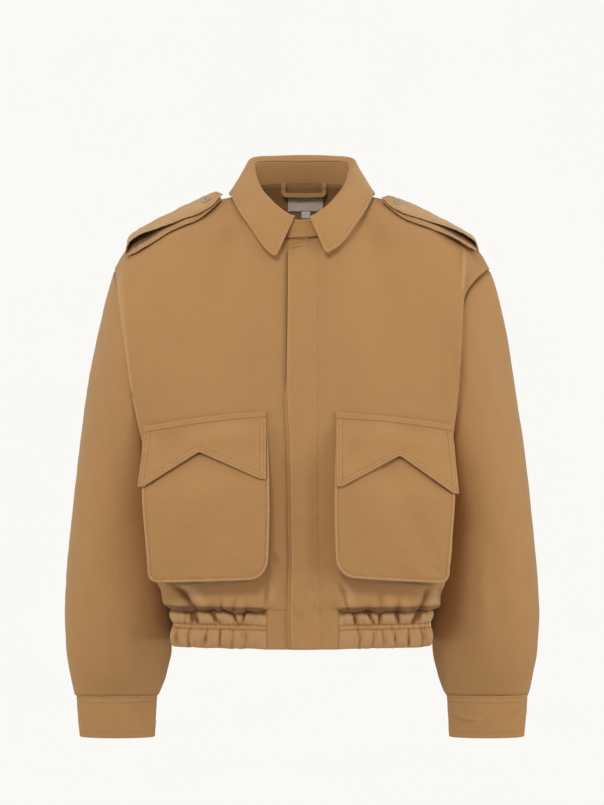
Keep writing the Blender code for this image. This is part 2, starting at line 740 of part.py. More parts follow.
class HemLine:
    """The body's lower edge on one side, measured along itself from the middle of the front."""

    def __init__(self, side):
        column = np.linspace(0, SIDE, 200)
        height = np.full(200, float(BODY_HEM_Z))
        front = lower_body(True, side, column, height)
        back = lower_body(False, side, column[::-1][1:], height[1:])
        self.side = side
        self.line = np.concatenate([front, back])[:, :2]
        steps = np.linalg.norm(np.diff(self.line, axis=0), axis=1)
        self.along = np.concatenate([[0], np.cumsum(steps)])
        self.length = self.along[-1]
        ahead = np.gradient(self.line, axis=0)
        self.out = np.stack([ahead[:, 1], -ahead[:, 0]], axis=1)
        self.out /= np.linalg.norm(self.out, axis=1, keepdims=True)

    def at(self, along, out):
        """x and y, moved outwards by `out`."""
        place = np.stack([np.interp(along, self.along, self.line[:, k]) for k in range(2)], axis=-1)
        away = np.stack([np.interp(along, self.along, self.out[:, k]) for k in range(2)], axis=-1)
        place = place + away * np.asarray(out)[..., None]
        return place[..., 0] * self.side, place[..., 1]

    def where(self, x):
        """How far along the line x is, on the front."""
        front = self.line[:, 1] < -80
        return float(np.interp(x, self.line[front, 0], self.along[front]))


def add_hem_band():
    """The gathered band goes from the wearer's right end seam round the back to the left one."""
    lines = {side: HemLine(side) for side in (LEFT, RIGHT)}
    starts = {side: lines[side].where(abs(BAND_END_X[side])) for side in lines}
    count = GATHERS * GATHER_COLUMNS
    right = lines[RIGHT].length - starts[RIGHT]
    total = right + lines[LEFT].length - starts[LEFT]
    travel = np.linspace(0, total, count + 1)
    on_right = travel < right
    share = travel / total
    phase = GATHERS * 2 * pi * share + 0.9 * np.sin(19.5 * share) + 0.6 * np.sin(45.9 * share + 1)
    flat_end = ease(np.minimum(share, 1 - share) * 40)
    rows = []
    for channel in HEM_BAND:
        size = channel.gather * (0.75 + 0.25 * np.sin(31 * share + channel.z / 13)) * flat_end
        out = channel.out + size * np.cos(phase + channel.z / 9)
        right_x, right_y = lines[RIGHT].at(starts[RIGHT] + travel, out)
        left_x, left_y = lines[LEFT].at(starts[LEFT] + total - travel, out)
        x, y = np.where(on_right, right_x, left_x), np.where(on_right, right_y, left_y)
        rows.append(points(x, y, channel.z))
    net = grid_net(np.array(rows), from_axis(0, 0))
    net.draw_in_edges(0.1)
    add_wall("hem_band", net, PANEL)
    for side, name in SIDE_NAMES.items():
        add_band_end(lines[side], starts[side], name)


def add_band_end(line, end, name):
    """The flat end of the hem band beside the placket."""
    along = np.linspace(line.where(0.2), end - 0.2, 4)
    rows = [points(*line.at(along, np.full(4, channel.out)), channel.z) for channel in HEM_BAND]
    net = grid_net(np.array(rows), from_axis(0, 0))
    add_wall(f"band_end_{name}", net, PANEL)


# Pockets ---------------------------------------------------------------------------------------------


def pocket_outline(shape, s, t):
    """A point of the pocket's face as seen from the front, s outwards and t down, with round corners."""
    top_z = shape.welt_inner_z + (shape.welt_outer_z - shape.welt_inner_z) * s - POCKET_MOUTH
    bottom_z = shape.bottom_inner_z + (shape.bottom_outer_z - shape.bottom_inner_z) * s
    inner_x = shape.inner_x - 3 * np.sin(pi * t)
    outer_x = shape.outer_x + (2 - 8 * ease((t - 0.3) / 0.7))
    x = inner_x + (outer_x - inner_x) * s
    z = top_z + (bottom_z - top_z) * t
    corner = (np.abs(2 * s - 1) * t) ** 9
    x = x - np.sign(s - 0.5) * POCKET_CORNER * 0.55 * corner
    z = z + POCKET_CORNER * 0.55 * corner
    return x, z


def pocket_depth(t):
    return POCKET_TOP_DEPTH + (POCKET_DEPTH - POCKET_TOP_DEPTH) * ease(t * 1.4)


def face_point(ground, side, shape, x, z, depth):
    """A point in front of the panel. The face is narrower where it is sewn on than where it stands out."""
    middle = (shape.foot_inner_x + shape.foot_outer_x) / 2
    narrow = (shape.foot_outer_x - middle) / (shape.outer_x - middle)
    on_panel = middle + (x - middle) * min(narrow, 1)
    y = ground.front(side * on_panel, z)[1] - depth
    return np.array([side * x, y, z])


def pocket_face(ground, side, shape, columns, rows):
    places = np.zeros((rows + 1, columns + 1, 3))
    for j in range(rows + 1):
        for i in range(columns + 1):
            s, t = i / columns, j / rows
            x, z = pocket_outline(shape, s, t)
            dome = 3 * np.sin(pi * s) * np.sin(pi * min(t * 1.1, 1))
            places[j, i] = face_point(ground, side, shape, x, z, pocket_depth(t) + dome)
    return places


def add_pocket_bag(ground, side):
    """The pocket: a face, and a bellows gusset round three sides that reaches back to the panel."""
    shape = POCKET[side]
    columns, rows = 8, 8
    face = pocket_face(ground, side, shape, columns, rows)
    border = [face[j, 0] for j in range(rows + 1)]
    border += [face[rows, i] for i in range(1, columns)]
    border += [face[j, columns] for j in range(rows, -1, -1)]
    border = np.array(border)
    middle_x = side * (shape.foot_inner_x + shape.foot_outer_x) / 2
    half = (shape.foot_outer_x - shape.foot_inner_x) / 2
    reach = np.abs(border[:, 0] - middle_x).max()
    foot = border.copy()
    foot[:, 0] = middle_x + (border[:, 0] - middle_x) * half / reach
    for k, (x, _, z) in enumerate(foot):
        foot[k] = ground.front(x, z) - [0, POCKET_FOOT_GAP, 0]
    tucked = (border + foot) / 2
    inwards = np.array([middle_x, 0, face[:, :, 2].mean()]) - tucked
    inwards[:, 1] = 0
    tucked += inwards / np.linalg.norm(inwards, axis=1, keepdims=True) * 2.5
    places = [*face.reshape(-1, 3), *tucked, *foot]
    ring = [j * (columns + 1) for j in range(rows + 1)]
    ring += [rows * (columns + 1) + i for i in range(1, columns)]
    ring += [j * (columns + 1) + columns for j in range(rows, -1, -1)]
    faces = grid_faces(columns + 1, rows + 1)
    base = (columns + 1) * (rows + 1)
    count = len(border)
    for k in range(count - 1):
        faces.append((ring[k], ring[k + 1], base + k + 1, base + k))
        faces.append((base + k, base + k + 1, base + count + k + 1, base + count + k))
    name = SIDE_NAMES[side]
    net = Net(places, faces, lambda centres: centres * 0 + [middle_x, -90, -420])
    add_wall(f"pocket_bag_{name}", net, TRIM)


def flap_bottom_z(shape, s):
    """The flap's lower edge: two tips, and a notch that rises to a peak between them."""
    peak = (shape.peak_x - shape.flap_inner_x) / (shape.flap_outer_x - shape.flap_inner_x)
    stations = [0, 0.10, peak, 0.90, 1]
    heights = [shape.inner_tip_z, shape.inner_tip_z + 2, shape.peak_z, shape.outer_tip_z + 2, shape.outer_tip_z]
    return np.interp(s, stations, heights)


def welt_line(shape, s):
    x = shape.flap_inner_x + (shape.outer_x - shape.flap_inner_x) * s
    z = shape.welt_inner_z + (shape.welt_outer_z - shape.welt_inner_z) * s
    return x, z + 2.5 * np.sin(pi * s)


def add_flap(ground, side):
    shape = POCKET[side]
    peak = (shape.peak_x - shape.flap_inner_x) / (shape.flap_outer_x - shape.flap_inner_x)
    shares = np.unique(np.concatenate([np.linspace(0, peak, 6), np.linspace(peak, 1, 6), [0.10, 0.90]]))
    falls = [0, 0.28, 0.62, 1]
    places = np.zeros((len(falls), len(shares), 3))
    for i, s in enumerate(shares):
        top_x, top_z = welt_line(shape, s)
        top_z -= WELT_HEIGHT + SEAM + 0.4
        bottom_x = shape.flap_inner_x + (shape.flap_outer_x - shape.flap_inner_x) * s
        for j, fall in enumerate(falls):
            x = top_x + (bottom_x - top_x) * fall
            z = top_z + (flap_bottom_z(shape, s) - top_z) * fall
            mouth_z = shape.welt_inner_z + (shape.welt_outer_z - shape.welt_inner_z) * s - POCKET_MOUTH
            share = np.clip((mouth_z - z) / (mouth_z - shape.bottom_inner_z), 0, 1)
            over = pocket_depth(share) + FLAP_STAND + PANEL + 2.2 * np.sin(pi * s)
            depth = FLAP_HINGE + (over - FLAP_HINGE) * ease((top_z - z) / FLAP_SLOPE)
            places[j, i] = face_point(ground, side, shape, x, z, depth)
    net = grid_net(places, from_plane((0, -1, 0)))
    add_wall(f"pocket_flap_{SIDE_NAMES[side]}", net, PANEL)


def add_welt(ground, side):
    shape = POCKET[side]
    places = np.zeros((3, 11, 3))
    for i, s in enumerate(np.linspace(0, 1, 11)):
        x, z = welt_line(shape, s)
        for j, (drop, depth) in enumerate([(0, 2.8), (0.5, 4.4), (1, 4.0)]):
            places[j, i] = face_point(ground, side, shape, x, z - drop * WELT_HEIGHT, depth)
    net = grid_net(places, from_plane((0, -1, 0)))
    add_wall(f"flap_welt_{SIDE_NAMES[side]}", net, DOUBLE)


# Epaulettes ------------------------------------------------------------------------------------------


def lower_strap_z(ground, side, x, y, lift):
    """The top of the lower strap, which is too stiff to follow the shoulder all the way down."""
    ridge = ground.top(side * x, RIDGE_Y)[2]
    straight = ridge - STRAP_SLOPE * max(RIDGE_Y - y, 0)
    return max(ground.top(side * x, y)[2], straight) + lift + PANEL


def strap_net(ground, side, table, is_upper):
    """A strap along the shoulder. The upper one lies on the lower one and stands off it in front."""
    xs = np.unique(np.clip(STRAP_STATIONS, table[0].x, table[-1].x))
    rows = []
    for x in xs:
        row = row_at(table, x)
        shares = np.linspace(0, 1, 5)
        ys = row.back_y + (row.front_y - row.back_y) * shares
        lifts = row.back_lift + (row.front_lift - row.back_lift) * shares
        if is_upper:
            under = float(row_at(LOWER_STRAP, x).back_lift)
            zs = [lower_strap_z(ground, side, x, y, under) + lift + PANEL for y, lift in zip(ys, lifts)]
        else:
            zs = [lower_strap_z(ground, side, x, y, lift) for y, lift in zip(ys, lifts)]
        rows.append(points(side * x, ys, np.array(zs)))
    return grid_net(np.array(rows), from_plane((0, 0, 1)))


def add_epaulette(ground, side):
    name = SIDE_NAMES[side]
    lower = strap_net(ground, side, LOWER_STRAP, is_upper=False)
    add_wall(f"epaulette_lower_{name}", lower, PANEL, TWILL_LIGHT)
    upper = strap_net(ground, side, UPPER_STRAP, is_upper=True)
    add_wall(f"epaulette_upper_{name}", upper, PANEL, TWILL_LIGHT)
    tree = BVHTree.FromPolygons([Vector(p) for p in upper.places], upper.faces)
    place, normal = tree.ray_cast(Vector((side * BUTTON_X, BUTTON_Y, 300)), Vector((0, 0, -1)))[:2]
    add_button(f"epaulette_button_{name}", place, normal)


def add_button(name, place, normal):
    """A flat round button with an eased rim, on the strap's point."""
    bpy.ops.mesh.primitive_cylinder_add(vertices=20, radius=BUTTON_RADIUS * MM, depth=BUTTON_HEIGHT * MM)
    button = bpy.context.object
    button.name = button.data.name = name
    axis = normal if normal.z > 0 else -normal
    button.location = (place + axis * (BUTTON_HEIGHT / 2 + 0.9)) * MM
    button.rotation_mode = "QUATERNION"
    button.rotation_quaternion = axis.to_track_quat("Z", "Y")
    rim = button.modifiers.new("rim", "BEVEL")
    rim.width = 0.5 * MM
    rim.segments = 1
    rim.limit_method = "ANGLE"
    button.data.materials.append(material(name, TWILL))
    for other in button.users_collection:
        other.objects.unlink(button)
    bpy.data.collections[OBJECT].objects.link(button)


# Inside the neck -------------------------------------------------------------------------------------


def add_hanger_loop(ground):
    """A narrow strap that hangs from the neck seam in a wide, shallow U."""
    corner = 4
    path = [(LOOP_RIGHT_X, LOOP_TOP_Z), (LOOP_RIGHT_X, LOOP_BOTTOM_Z + corner)]
    path += [(LOOP_RIGHT_X + corner * 0.3, LOOP_BOTTOM_Z + corner * 0.3), (LOOP_RIGHT_X + corner, LOOP_BOTTOM_Z)]
    middle = (LOOP_LEFT_X + LOOP_RIGHT_X) / 2
    path += [(middle, LOOP_BOTTOM_Z - 0.6)]
    path += [(LOOP_LEFT_X + LOOP_RIGHT_X - x, z) for x, z in path[3::-1]]
    path = np.array(path)
    ahead = np.gradient(path, axis=0)
    ahead /= np.linalg.norm(ahead, axis=1, keepdims=True)
    across = np.stack([ahead[:, 1], -ahead[:, 0]], axis=1)
    rows = []
    for shift in (-LOOP_WIDTH / 2, LOOP_WIDTH / 2):
        line = path + across * shift
        y = np.array([ground.back_inside(x, min(z, LOOP_SEAM_Z))[1] for x, z in line]) - LOOP_STAND
        y = np.minimum(y, y.min() + 1.9)
        rows.append(points(line[:, 0], y, line[:, 1]))
    add_wall("hanger_loop", grid_net(np.array(rows), from_plane((0, -1, 0))), TRIM)


def add_patch(ground, name, centre_x, width, top_z, height, lift, colour):
    """A flat rectangle of cloth against the inside of the back."""
    rows = []
    for z in np.linspace(top_z, top_z - height, 3):
        x = np.linspace(centre_x - width / 2, centre_x + width / 2, 5)
        y = np.array([ground.back_inside(xx, z)[1] for xx in x]) - PANEL - lift - TRIM / 2
        rows.append(points(x, y, np.full(5, z)))
    net = grid_net(np.array(rows), from_plane((0, -1, 0)))
    add_wall(name, net, TRIM / 2, colour)


def add_labels(ground):
    add_patch(ground, "neck_label", LABEL_X, LABEL_WIDTH, LABEL_TOP_Z, LABEL_HEIGHT, 1.4, LABEL_GREY)
    tab_top = LABEL_TOP_Z - LABEL_HEIGHT - SEAM - 0.2
    add_patch(ground, "size_tab", TAB_X, TAB_WIDTH, tab_top, TAB_HEIGHT, 1.4, TAB_WHITE)


# The jacket ------------------------------------------------------------------------------------------


def clear_scene():
    for old in list(bpy.data.objects):
        bpy.data.objects.remove(old, do_unlink=True)
    collection = bpy.data.collections.new(OBJECT)
    bpy.context.scene.collection.children.link(collection)


def build():
    clear_scene()
    panels = body_nets()
    sleeves = {f"sleeve_{name}": sleeve_net(side) for side, name in SIDE_NAMES.items()}
    ground = Ground([*panels.values(), *sleeves.values()])
    share_normals(panels.values())
    for name, net in {**panels, **sleeves}.items():
        net.draw_in_edges(0.2)
        add_wall(name, net, PANEL)
    add_collar_stand()
    add_collar_leaf()
    add_placket(ground)
    add_under_fly(ground)
    add_hem_band()
    for side in (LEFT, RIGHT):
        add_cuff(side)
        add_pocket_bag(ground, side)
        add_flap(ground, side)
        add_welt(ground, side)
        add_epaulette(ground, side)
    add_hanger_loop(ground)
    add_labels(ground)


build()
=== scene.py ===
"""Dresses the pilot jacket: every cut piece of twill at full fineness, its folds, gathers and sewing,
the strap buttons, the neck label, and a pale studio.

Sizes are millimetres in the jacket's own frame. The front faces -Y, the wearer's left is +X, and the
origin is at the base of the neck. The pieces follow the same sizes as the solids that they stand for.
"""

from __future__ import annotations

import logging
from dataclasses import dataclass, field
from enum import Enum, IntEnum
from math import pi
from typing import Callable, NamedTuple, Sequence

import bpy
import numpy as np
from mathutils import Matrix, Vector
from mathutils.bvhtree import BVHTree

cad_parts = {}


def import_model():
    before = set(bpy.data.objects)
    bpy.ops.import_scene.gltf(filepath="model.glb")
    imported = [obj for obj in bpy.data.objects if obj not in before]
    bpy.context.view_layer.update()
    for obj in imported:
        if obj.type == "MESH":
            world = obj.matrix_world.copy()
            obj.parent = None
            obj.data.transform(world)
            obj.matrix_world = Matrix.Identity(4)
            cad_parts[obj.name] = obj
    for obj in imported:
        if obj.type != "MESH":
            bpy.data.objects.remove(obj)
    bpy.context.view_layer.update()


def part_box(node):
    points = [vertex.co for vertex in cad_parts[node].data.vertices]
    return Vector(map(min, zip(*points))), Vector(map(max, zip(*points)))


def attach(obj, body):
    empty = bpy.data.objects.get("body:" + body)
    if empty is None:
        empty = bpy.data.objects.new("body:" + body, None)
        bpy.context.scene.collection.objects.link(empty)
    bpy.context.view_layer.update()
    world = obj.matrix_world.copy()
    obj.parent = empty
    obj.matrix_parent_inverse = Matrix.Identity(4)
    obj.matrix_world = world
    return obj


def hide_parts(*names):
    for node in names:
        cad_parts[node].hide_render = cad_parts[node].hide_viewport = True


log = logging.getLogger("pilot_jacket")

MM = 0.001
NARROWEST = 10.5  # what is narrower is a tape, and not a sheet
ROUNDNESS = 0.32  # how far a cut edge stands out, as a share of the cloth's thickness
WAVE = 0.314  # a wave texture's scale for bands one metre wide
FORWARDS, UPWARDS = (0, -1, 0), (0, 0, 1)

Values = float | np.ndarray
Path = tuple[np.ndarray, np.ndarray]  # points and the cloth's normals there
Colour = tuple[float, float, float]


class Side(IntEnum):
    """The wearer's side, as the sign of X."""

    LEFT = 1
    RIGHT = -1

    @property
    def word(self) -> str:
        """The side's word in a node's name."""
        return self.name.lower()


class Slot(Enum):
    """The record's material slots."""

    TWILL = "cotton twill"
    BUTTON = "tan button"
    LABEL = "label satin"
    TAB = "tab tape"


class Held(Enum):
    """How a sheet of cloth is held."""

    HUNG = "hung"
    GATHERED = "gathered"
    FOLDED = "folded"
    LAID = "laid"


# Curves ---------------------------------------------------------------------------------------------


def smooth(stations: Sequence[float], values: Sequence, at: np.ndarray) -> np.ndarray:
    """Reads the smooth curve through the rows `values`.

    Args:
        stations: where each row stands, rising.
        values: the rows.
        at: the stations to read.

    Returns:
        One row for each station read.
    """
    s, v, at = np.asarray(stations, float), np.asarray(values, float), np.asarray(at, float)
    slopes = np.gradient(v, s, axis=0)
    i = np.clip(np.searchsorted(s, at, side="right") - 1, 0, len(s) - 2)
    step = s[i + 1] - s[i]
    t = np.clip((at - s[i]) / step, 0, 1)
    if v.ndim > 1:
        t, step = t[..., None], step[..., None]
    start, end = v[i], v[i + 1]
    bend = (t**3 - 2 * t**2 + t) * slopes[i] + (t**3 - t**2) * slopes[i + 1]
    return start + (3 * t**2 - 2 * t**3) * (end - start) + bend * step


def between(stations: np.ndarray, values: np.ndarray, at: np.ndarray) -> np.ndarray:
    """Reads the straight lines between the rows `values`, which stand at rising stations."""
    i = np.clip(np.searchsorted(stations, at, side="right") - 1, 0, len(stations) - 2)
    t = ((at - stations[i]) / (stations[i + 1] - stations[i])).reshape(-1, *[1] * (values.ndim - 1))
    return values[i] * (1 - t) + values[i + 1] * t


def softened(rows: np.ndarray, reach: int) -> np.ndarray:
    """Rounds off the corners of evenly spaced rows, whose first and last stay where they are."""
    before, after = 2 * rows[:1] - rows[reach:0:-1], 2 * rows[-1:] - rows[-2 : -reach - 2 : -1]
    whole = np.concatenate([before, rows, after])
    weights = bump(np.arange(-reach, reach + 1), 0.5 * reach)
    return sum(w * whole[k : k + len(rows)] for k, w in enumerate(weights / weights.sum()))


def row_at(table: Sequence, at: np.ndarray) -> NamedTuple:
    """Reads a table of named columns at `at`, which is measured in its first column."""
    first = [row[0] for row in table]
    return type(table[0])(*np.moveaxis(smooth(first, table, at), -1, 0))


def bezier(p0: Values, p1: Values, p2: Values, p3: Values, t: Values) -> Values:
    """A point of the cubic curve from p0 to p3, at the share t."""
    return p0 * (1 - t) ** 3 + 3 * p1 * t * (1 - t) ** 2 + 3 * p2 * t**2 * (1 - t) + p3 * t**3


def ease(t: Values) -> Values:
    """0 to 1 with a level start and end."""
    t = np.clip(t, 0, 1)
    return t * t * (3 - 2 * t)


def rise(at: Values, start: float, end: float) -> Values:
    """0 on the near side of `start`, 1 past `end`, and eased between. The end may be the lower one."""
    return ease((at - start) / (end - start))


def bump(distance: Values, width: float) -> Values:
    """A soft hill of height 1 round a distance of nothing."""
    return np.exp(-((distance / width) ** 2))


def points(x: Values, y: Values, z: Values) -> np.ndarray:
    """Points from three arrays that broadcast together."""
    return np.stack(np.broadcast_arrays(x, y, z), axis=-1).astype(float)


def unit(vectors: np.ndarray, least: float = 1e-9) -> np.ndarray:
    """Vectors made 1 long. One that is shorter than `least` stays short."""
    return vectors / np.maximum(np.linalg.norm(vectors, axis=-1, keepdims=True), least)


def travelled(places: np.ndarray) -> np.ndarray:
    """The length travelled at each of a path's points."""
    return np.concatenate([[0], np.cumsum(np.linalg.norm(np.diff(places, axis=0), axis=1))])


def evenly(spacing: float, length_at: np.ndarray, values: np.ndarray) -> np.ndarray:
    """Values spaced evenly by the length that has been travelled at each of `values`."""
    count = max(int(round(length_at[-1] / spacing)), 2)
    return np.interp(np.linspace(0, length_at[-1], count + 1), length_at, values)


def place_on(measured: np.ndarray, distance: float, from_last: bool = False) -> float:
    """Which place of a measured line is at a distance from its first or last one."""
    want = measured[-1] - distance if from_last else distance
    return np.interp(want, measured, np.arange(len(measured)))


def stations(length: float, step: float, first: float = 0, last: float = 0, fine: float = 0.7) -> np.ndarray:
    """Places along a length, close together beside its stitched ends.

    Args:
        length: the length to divide.
        step: how far apart the places are in the middle.
        first: how much of the start is stitched.
        last: how much of the end is stitched.
        fine: how far apart they are there.

    Returns:
        The places, from 0 to the length.
    """
    count = max(int(round((length - last - first) / step)), 1)
    middle = np.linspace(first, length - last, count + 1)
    start, end = np.arange(0, first, fine), length - np.arange(0, last, fine)
    return np.unique(np.round(np.concatenate([start, middle, end]), 3))


def uneven(u: np.ndarray, v: np.ndarray, size: float, seed: int) -> np.ndarray:
    """Smooth unevenness of about -1 to 1.

    Args:
        u: one coordinate on the cloth.
        v: the other one.
        size: how far apart its lumps are.
        seed: which of many such surfaces.

    Returns:
        A height for each point.
    """
    draw = np.random.default_rng(seed)
    total = np.zeros(np.broadcast(u, v).shape)
    for _ in range(7):
        turn, start, stretch, sway = draw.uniform(0, 1, 4)
        wave = 2 * pi / (size * (0.8 + 0.9 * stretch))
        ahead = u * np.cos(2 * pi * turn) + v * np.sin(2 * pi * turn)
        across = v * np.cos(2 * pi * turn) - u * np.sin(2 * pi * turn)
        total += np.sin(wave * ahead + 6 * start + (0.5 + sway) * np.sin(0.6 * wave * across))
    return total / 3.4


def round_corner(a: np.ndarray, b: np.ndarray, radius: float) -> tuple[np.ndarray, np.ndarray]:
    """Moves distances from a square corner's two edges so that the points there fill a quarter disc."""
    p, q = np.clip(1 - a / radius, 0, 1), np.clip(1 - b / radius, 0, 1)
    near = (a < radius) & (b < radius)
    p_round, q_round = p * np.sqrt(1 - q**2 / 2), q * np.sqrt(1 - p**2 / 2)
    return np.where(near, radius * (1 - p_round), a), np.where(near, radius * (1 - q_round), b)


def inset(path: np.ndarray, distance: float) -> np.ndarray:
    """Moves a path of flat points to its left, mitred at its corners."""
    ahead = unit(np.diff(path, axis=0))
    left = np.stack([-ahead[:, 1], ahead[:, 0]], axis=1)
    before, after = np.concatenate([left[:1], left]), np.concatenate([left, left[-1:]])
    mitre = (before + after) / (1 + (before * after).sum(1, keepdims=True)).clip(0.35)
    return path + mitre * distance


def distance_to(path: np.ndarray, at: np.ndarray) -> tuple[np.ndarray, np.ndarray]:
    """How far each flat point is from a path, and how far along the path that is."""
    start, step = path[:-1], np.diff(path, axis=0)
    length = np.linalg.norm(step, axis=1)
    share = np.clip(((at[:, None] - start) * step).sum(-1) / length**2, 0, 1)
    apart = np.linalg.norm(at[:, None] - (start + step * share[..., None]), axis=-1)
    nearest = apart.argmin(1)
    pick = np.arange(len(at))
    return apart[pick, nearest], travelled(path)[nearest] + share[pick, nearest] * length[nearest]


# Folds ------------------------------------------------------------------------------------------------


class Crease(NamedTuple):
    """A soft trough from one point of the cloth to another, with a roll on its left."""

    u0: float
    v0: float
    u1: float
    v1: float
    depth: float
    width: float
    bow: float = 0.0

    def relief(self, u: np.ndarray, v: np.ndarray) -> np.ndarray:
        """The crease's own height at each point, below 0 in its trough."""
        du, dv = self.u1 - self.u0, self.v1 - self.v0
        length = np.hypot(du, dv)
        t = ((u - self.u0) * du + (v - self.v0) * dv) / length**2
        aside = ((v - self.v0) * du - (u - self.u0) * dv) / length - self.bow * 4 * t * (1 - t)
        fade = np.sin(pi * np.clip(t, 0, 1)) ** 0.8
        roll = 0.6 * bump(aside - 2.1 * self.width, 1.5 * self.width)
        return self.depth * fade * (roll - bump(aside, self.width))


def crease_relief(u: np.ndarray, v: np.ndarray, creases: Sequence[Crease]) -> np.ndarray:
    """The height that all the creases together give the cloth at two coordinates."""
    return sum(crease.relief(u, v) for crease in creases)


def sewn_relief(distance: np.ndarray, along: np.ndarray, rows: Sequence[float], seed: int) -> np.ndarray:
    """The puckered relief beside a turned and twice stitched edge.

    Args:
        distance: how far each point is from the edge.
        along: how far along the edge it is.
        rows: how far the two rows of stitching are from the edge.
        seed: which puckers.

    Returns:
        A height for each point.
    """
    near, far = rows
    swell = 0.34 * bump(distance - near * 0.45, near * 0.5)
    swell = swell + 0.22 * bump(distance - (near + far) / 2, (far - near) * 0.3)
    dent = 0.42 * (bump(distance - near, 0.75) + bump(distance - far, 0.75))
    pucker = uneven(along + distance * 0.5, distance * 0.3, 7.5, seed)
    pucker = pucker + 0.6 * uneven(along, distance * 0.2, 17, seed + 1)
    return swell - dent + 0.16 * pucker * bump(distance - far * 0.6, far * 0.9)


# Cloth ------------------------------------------------------------------------------------------------


class Cloth:
    """A cut piece: points on its outer side, four-cornered faces, and their corners on the flat cloth."""

    def __init__(self, places: np.ndarray, faces: np.ndarray, flat: np.ndarray) -> None:
        """Keeps the piece's net.

        Args:
            places: the points, in millimetres.
            faces: four points for each face.
            flat: where each face's corners lie on the flat cloth, in millimetres.
        """
        self.places = np.asarray(places, float).reshape(-1, 3)
        self.faces = np.asarray(faces, int).reshape(-1, 4)
        self.flat = np.asarray(flat, float).reshape(-1, 4, 2)
        self.relief = np.zeros(len(self.places))
        # how much painted shade darkens the inner side, which lies in shade inside the jacket
        self.inner_shade = 0.3

    def face_normals(self) -> np.ndarray:
        """Each face's normal, as long as twice its area."""
        corner = self.places[self.faces]
        return np.cross(corner[:, 2] - corner[:, 0], corner[:, 3] - corner[:, 1])

    def normals(self) -> np.ndarray:
        """Each point's normal, of length 1."""
        total = np.zeros_like(self.places)
        normal = self.face_normals()
        for k in range(4):
            np.add.at(total, self.faces[:, k], normal)
        return unit(total)

    def facing(self, inside: Callable[[np.ndarray], np.ndarray]) -> Cloth:
        """Turns the faces to look away from the points that `inside` gives for their centres."""
        centres = self.places[self.faces].mean(1)
        if (self.face_normals() * (centres - inside(centres))).sum() < 0:
            self.faces = self.faces[:, ::-1]
            self.flat = self.flat[:, ::-1]
        return self

    def raised(self, height: np.ndarray, tint: float = 1.0) -> None:
        """Moves the points out along their normals.

        Args:
            height: how far each point goes.
            tint: how much of it the finish is told of, which pales the ridges for wear and painted highlight
                and darkens the dents with painted shade.
        """
        height = np.asarray(height, float).reshape(-1)
        self.places = self.places + self.normals() * height[:, None]
        self.relief = self.relief + height * tint

    def area(self) -> float:
        """The outer side's area in square metres."""
        return float(np.linalg.norm(self.face_normals(), axis=1).sum()) / 2 * MM * MM

    def cut(self) -> tuple[float, float]:
        """The flat piece's width and length, in metres."""
        spread = self.flat.reshape(-1, 2)
        width, length = (float(x) * MM for x in spread.max(0) - spread.min(0))
        return width, length

    def rim(self) -> tuple[np.ndarray, np.ndarray]:
        """The edges with one face, as (face, corner) pairs of arrays."""
        ahead = np.roll(self.faces, -1, axis=1)
        low, high = np.minimum(self.faces, ahead), np.maximum(self.faces, ahead)
        code = (low * len(self.places) + high).ravel()
        _, back, count = np.unique(code, return_inverse=True, return_counts=True)
        single = (count[back] == 1) & (low.ravel() != high.ravel())
        return np.divmod(np.nonzero(single)[0], 4)

    def shell(self, name: str, thickness: float, finish: bpy.types.Material) -> bpy.types.Object:
        """Gives the piece its thickness, with rounded rims.

        Args:
            name: the new object's name.
            thickness: how thick the cloth is.
            finish: its material.

        Returns:
            The new object.
        """
        count = len(self.places)
        normal = self.normals()
        inner = self.places - normal * thickness
        face, corner = self.rim()
        a, b = self.faces[face, corner], self.faces[face, (corner + 1) % 4]
        flat_a, flat_b = self.flat[face, corner], self.flat[face, (corner + 1) % 4]
        away = unit(np.cross(self.places[b] - self.places[a], normal[a] + normal[b]))
        out = np.zeros_like(self.places)
        np.add.at(out, a, away)
        np.add.at(out, b, away)
        edge = np.unique(np.concatenate([a, b]))
        middle = (self.places[edge] + inner[edge]) / 2 + unit(out[edge]) * thickness * ROUNDNESS
        new = np.zeros(count, int)
        new[edge] = 2 * count + np.arange(len(edge))
        faces = [self.faces, self.faces[:, ::-1] + count]
        faces.append(np.stack([b, a, new[a], new[b]], axis=1))
        faces.append(np.stack([new[b], new[a], a + count, b + count], axis=1))
        flat = [self.flat, self.flat[:, ::-1]]
        flat += [np.stack([flat_b, flat_a, flat_a, flat_b], axis=1)] * 2
        places = np.concatenate([self.places, inner, middle])
        # the inner side takes inner_shade as painted shade
        relief = np.concatenate([self.relief, self.relief * 0 - self.inner_shade, self.relief[edge] + 0.2])
        return make_mesh(name, places, np.concatenate(faces), finish, np.concatenate(flat), relief)


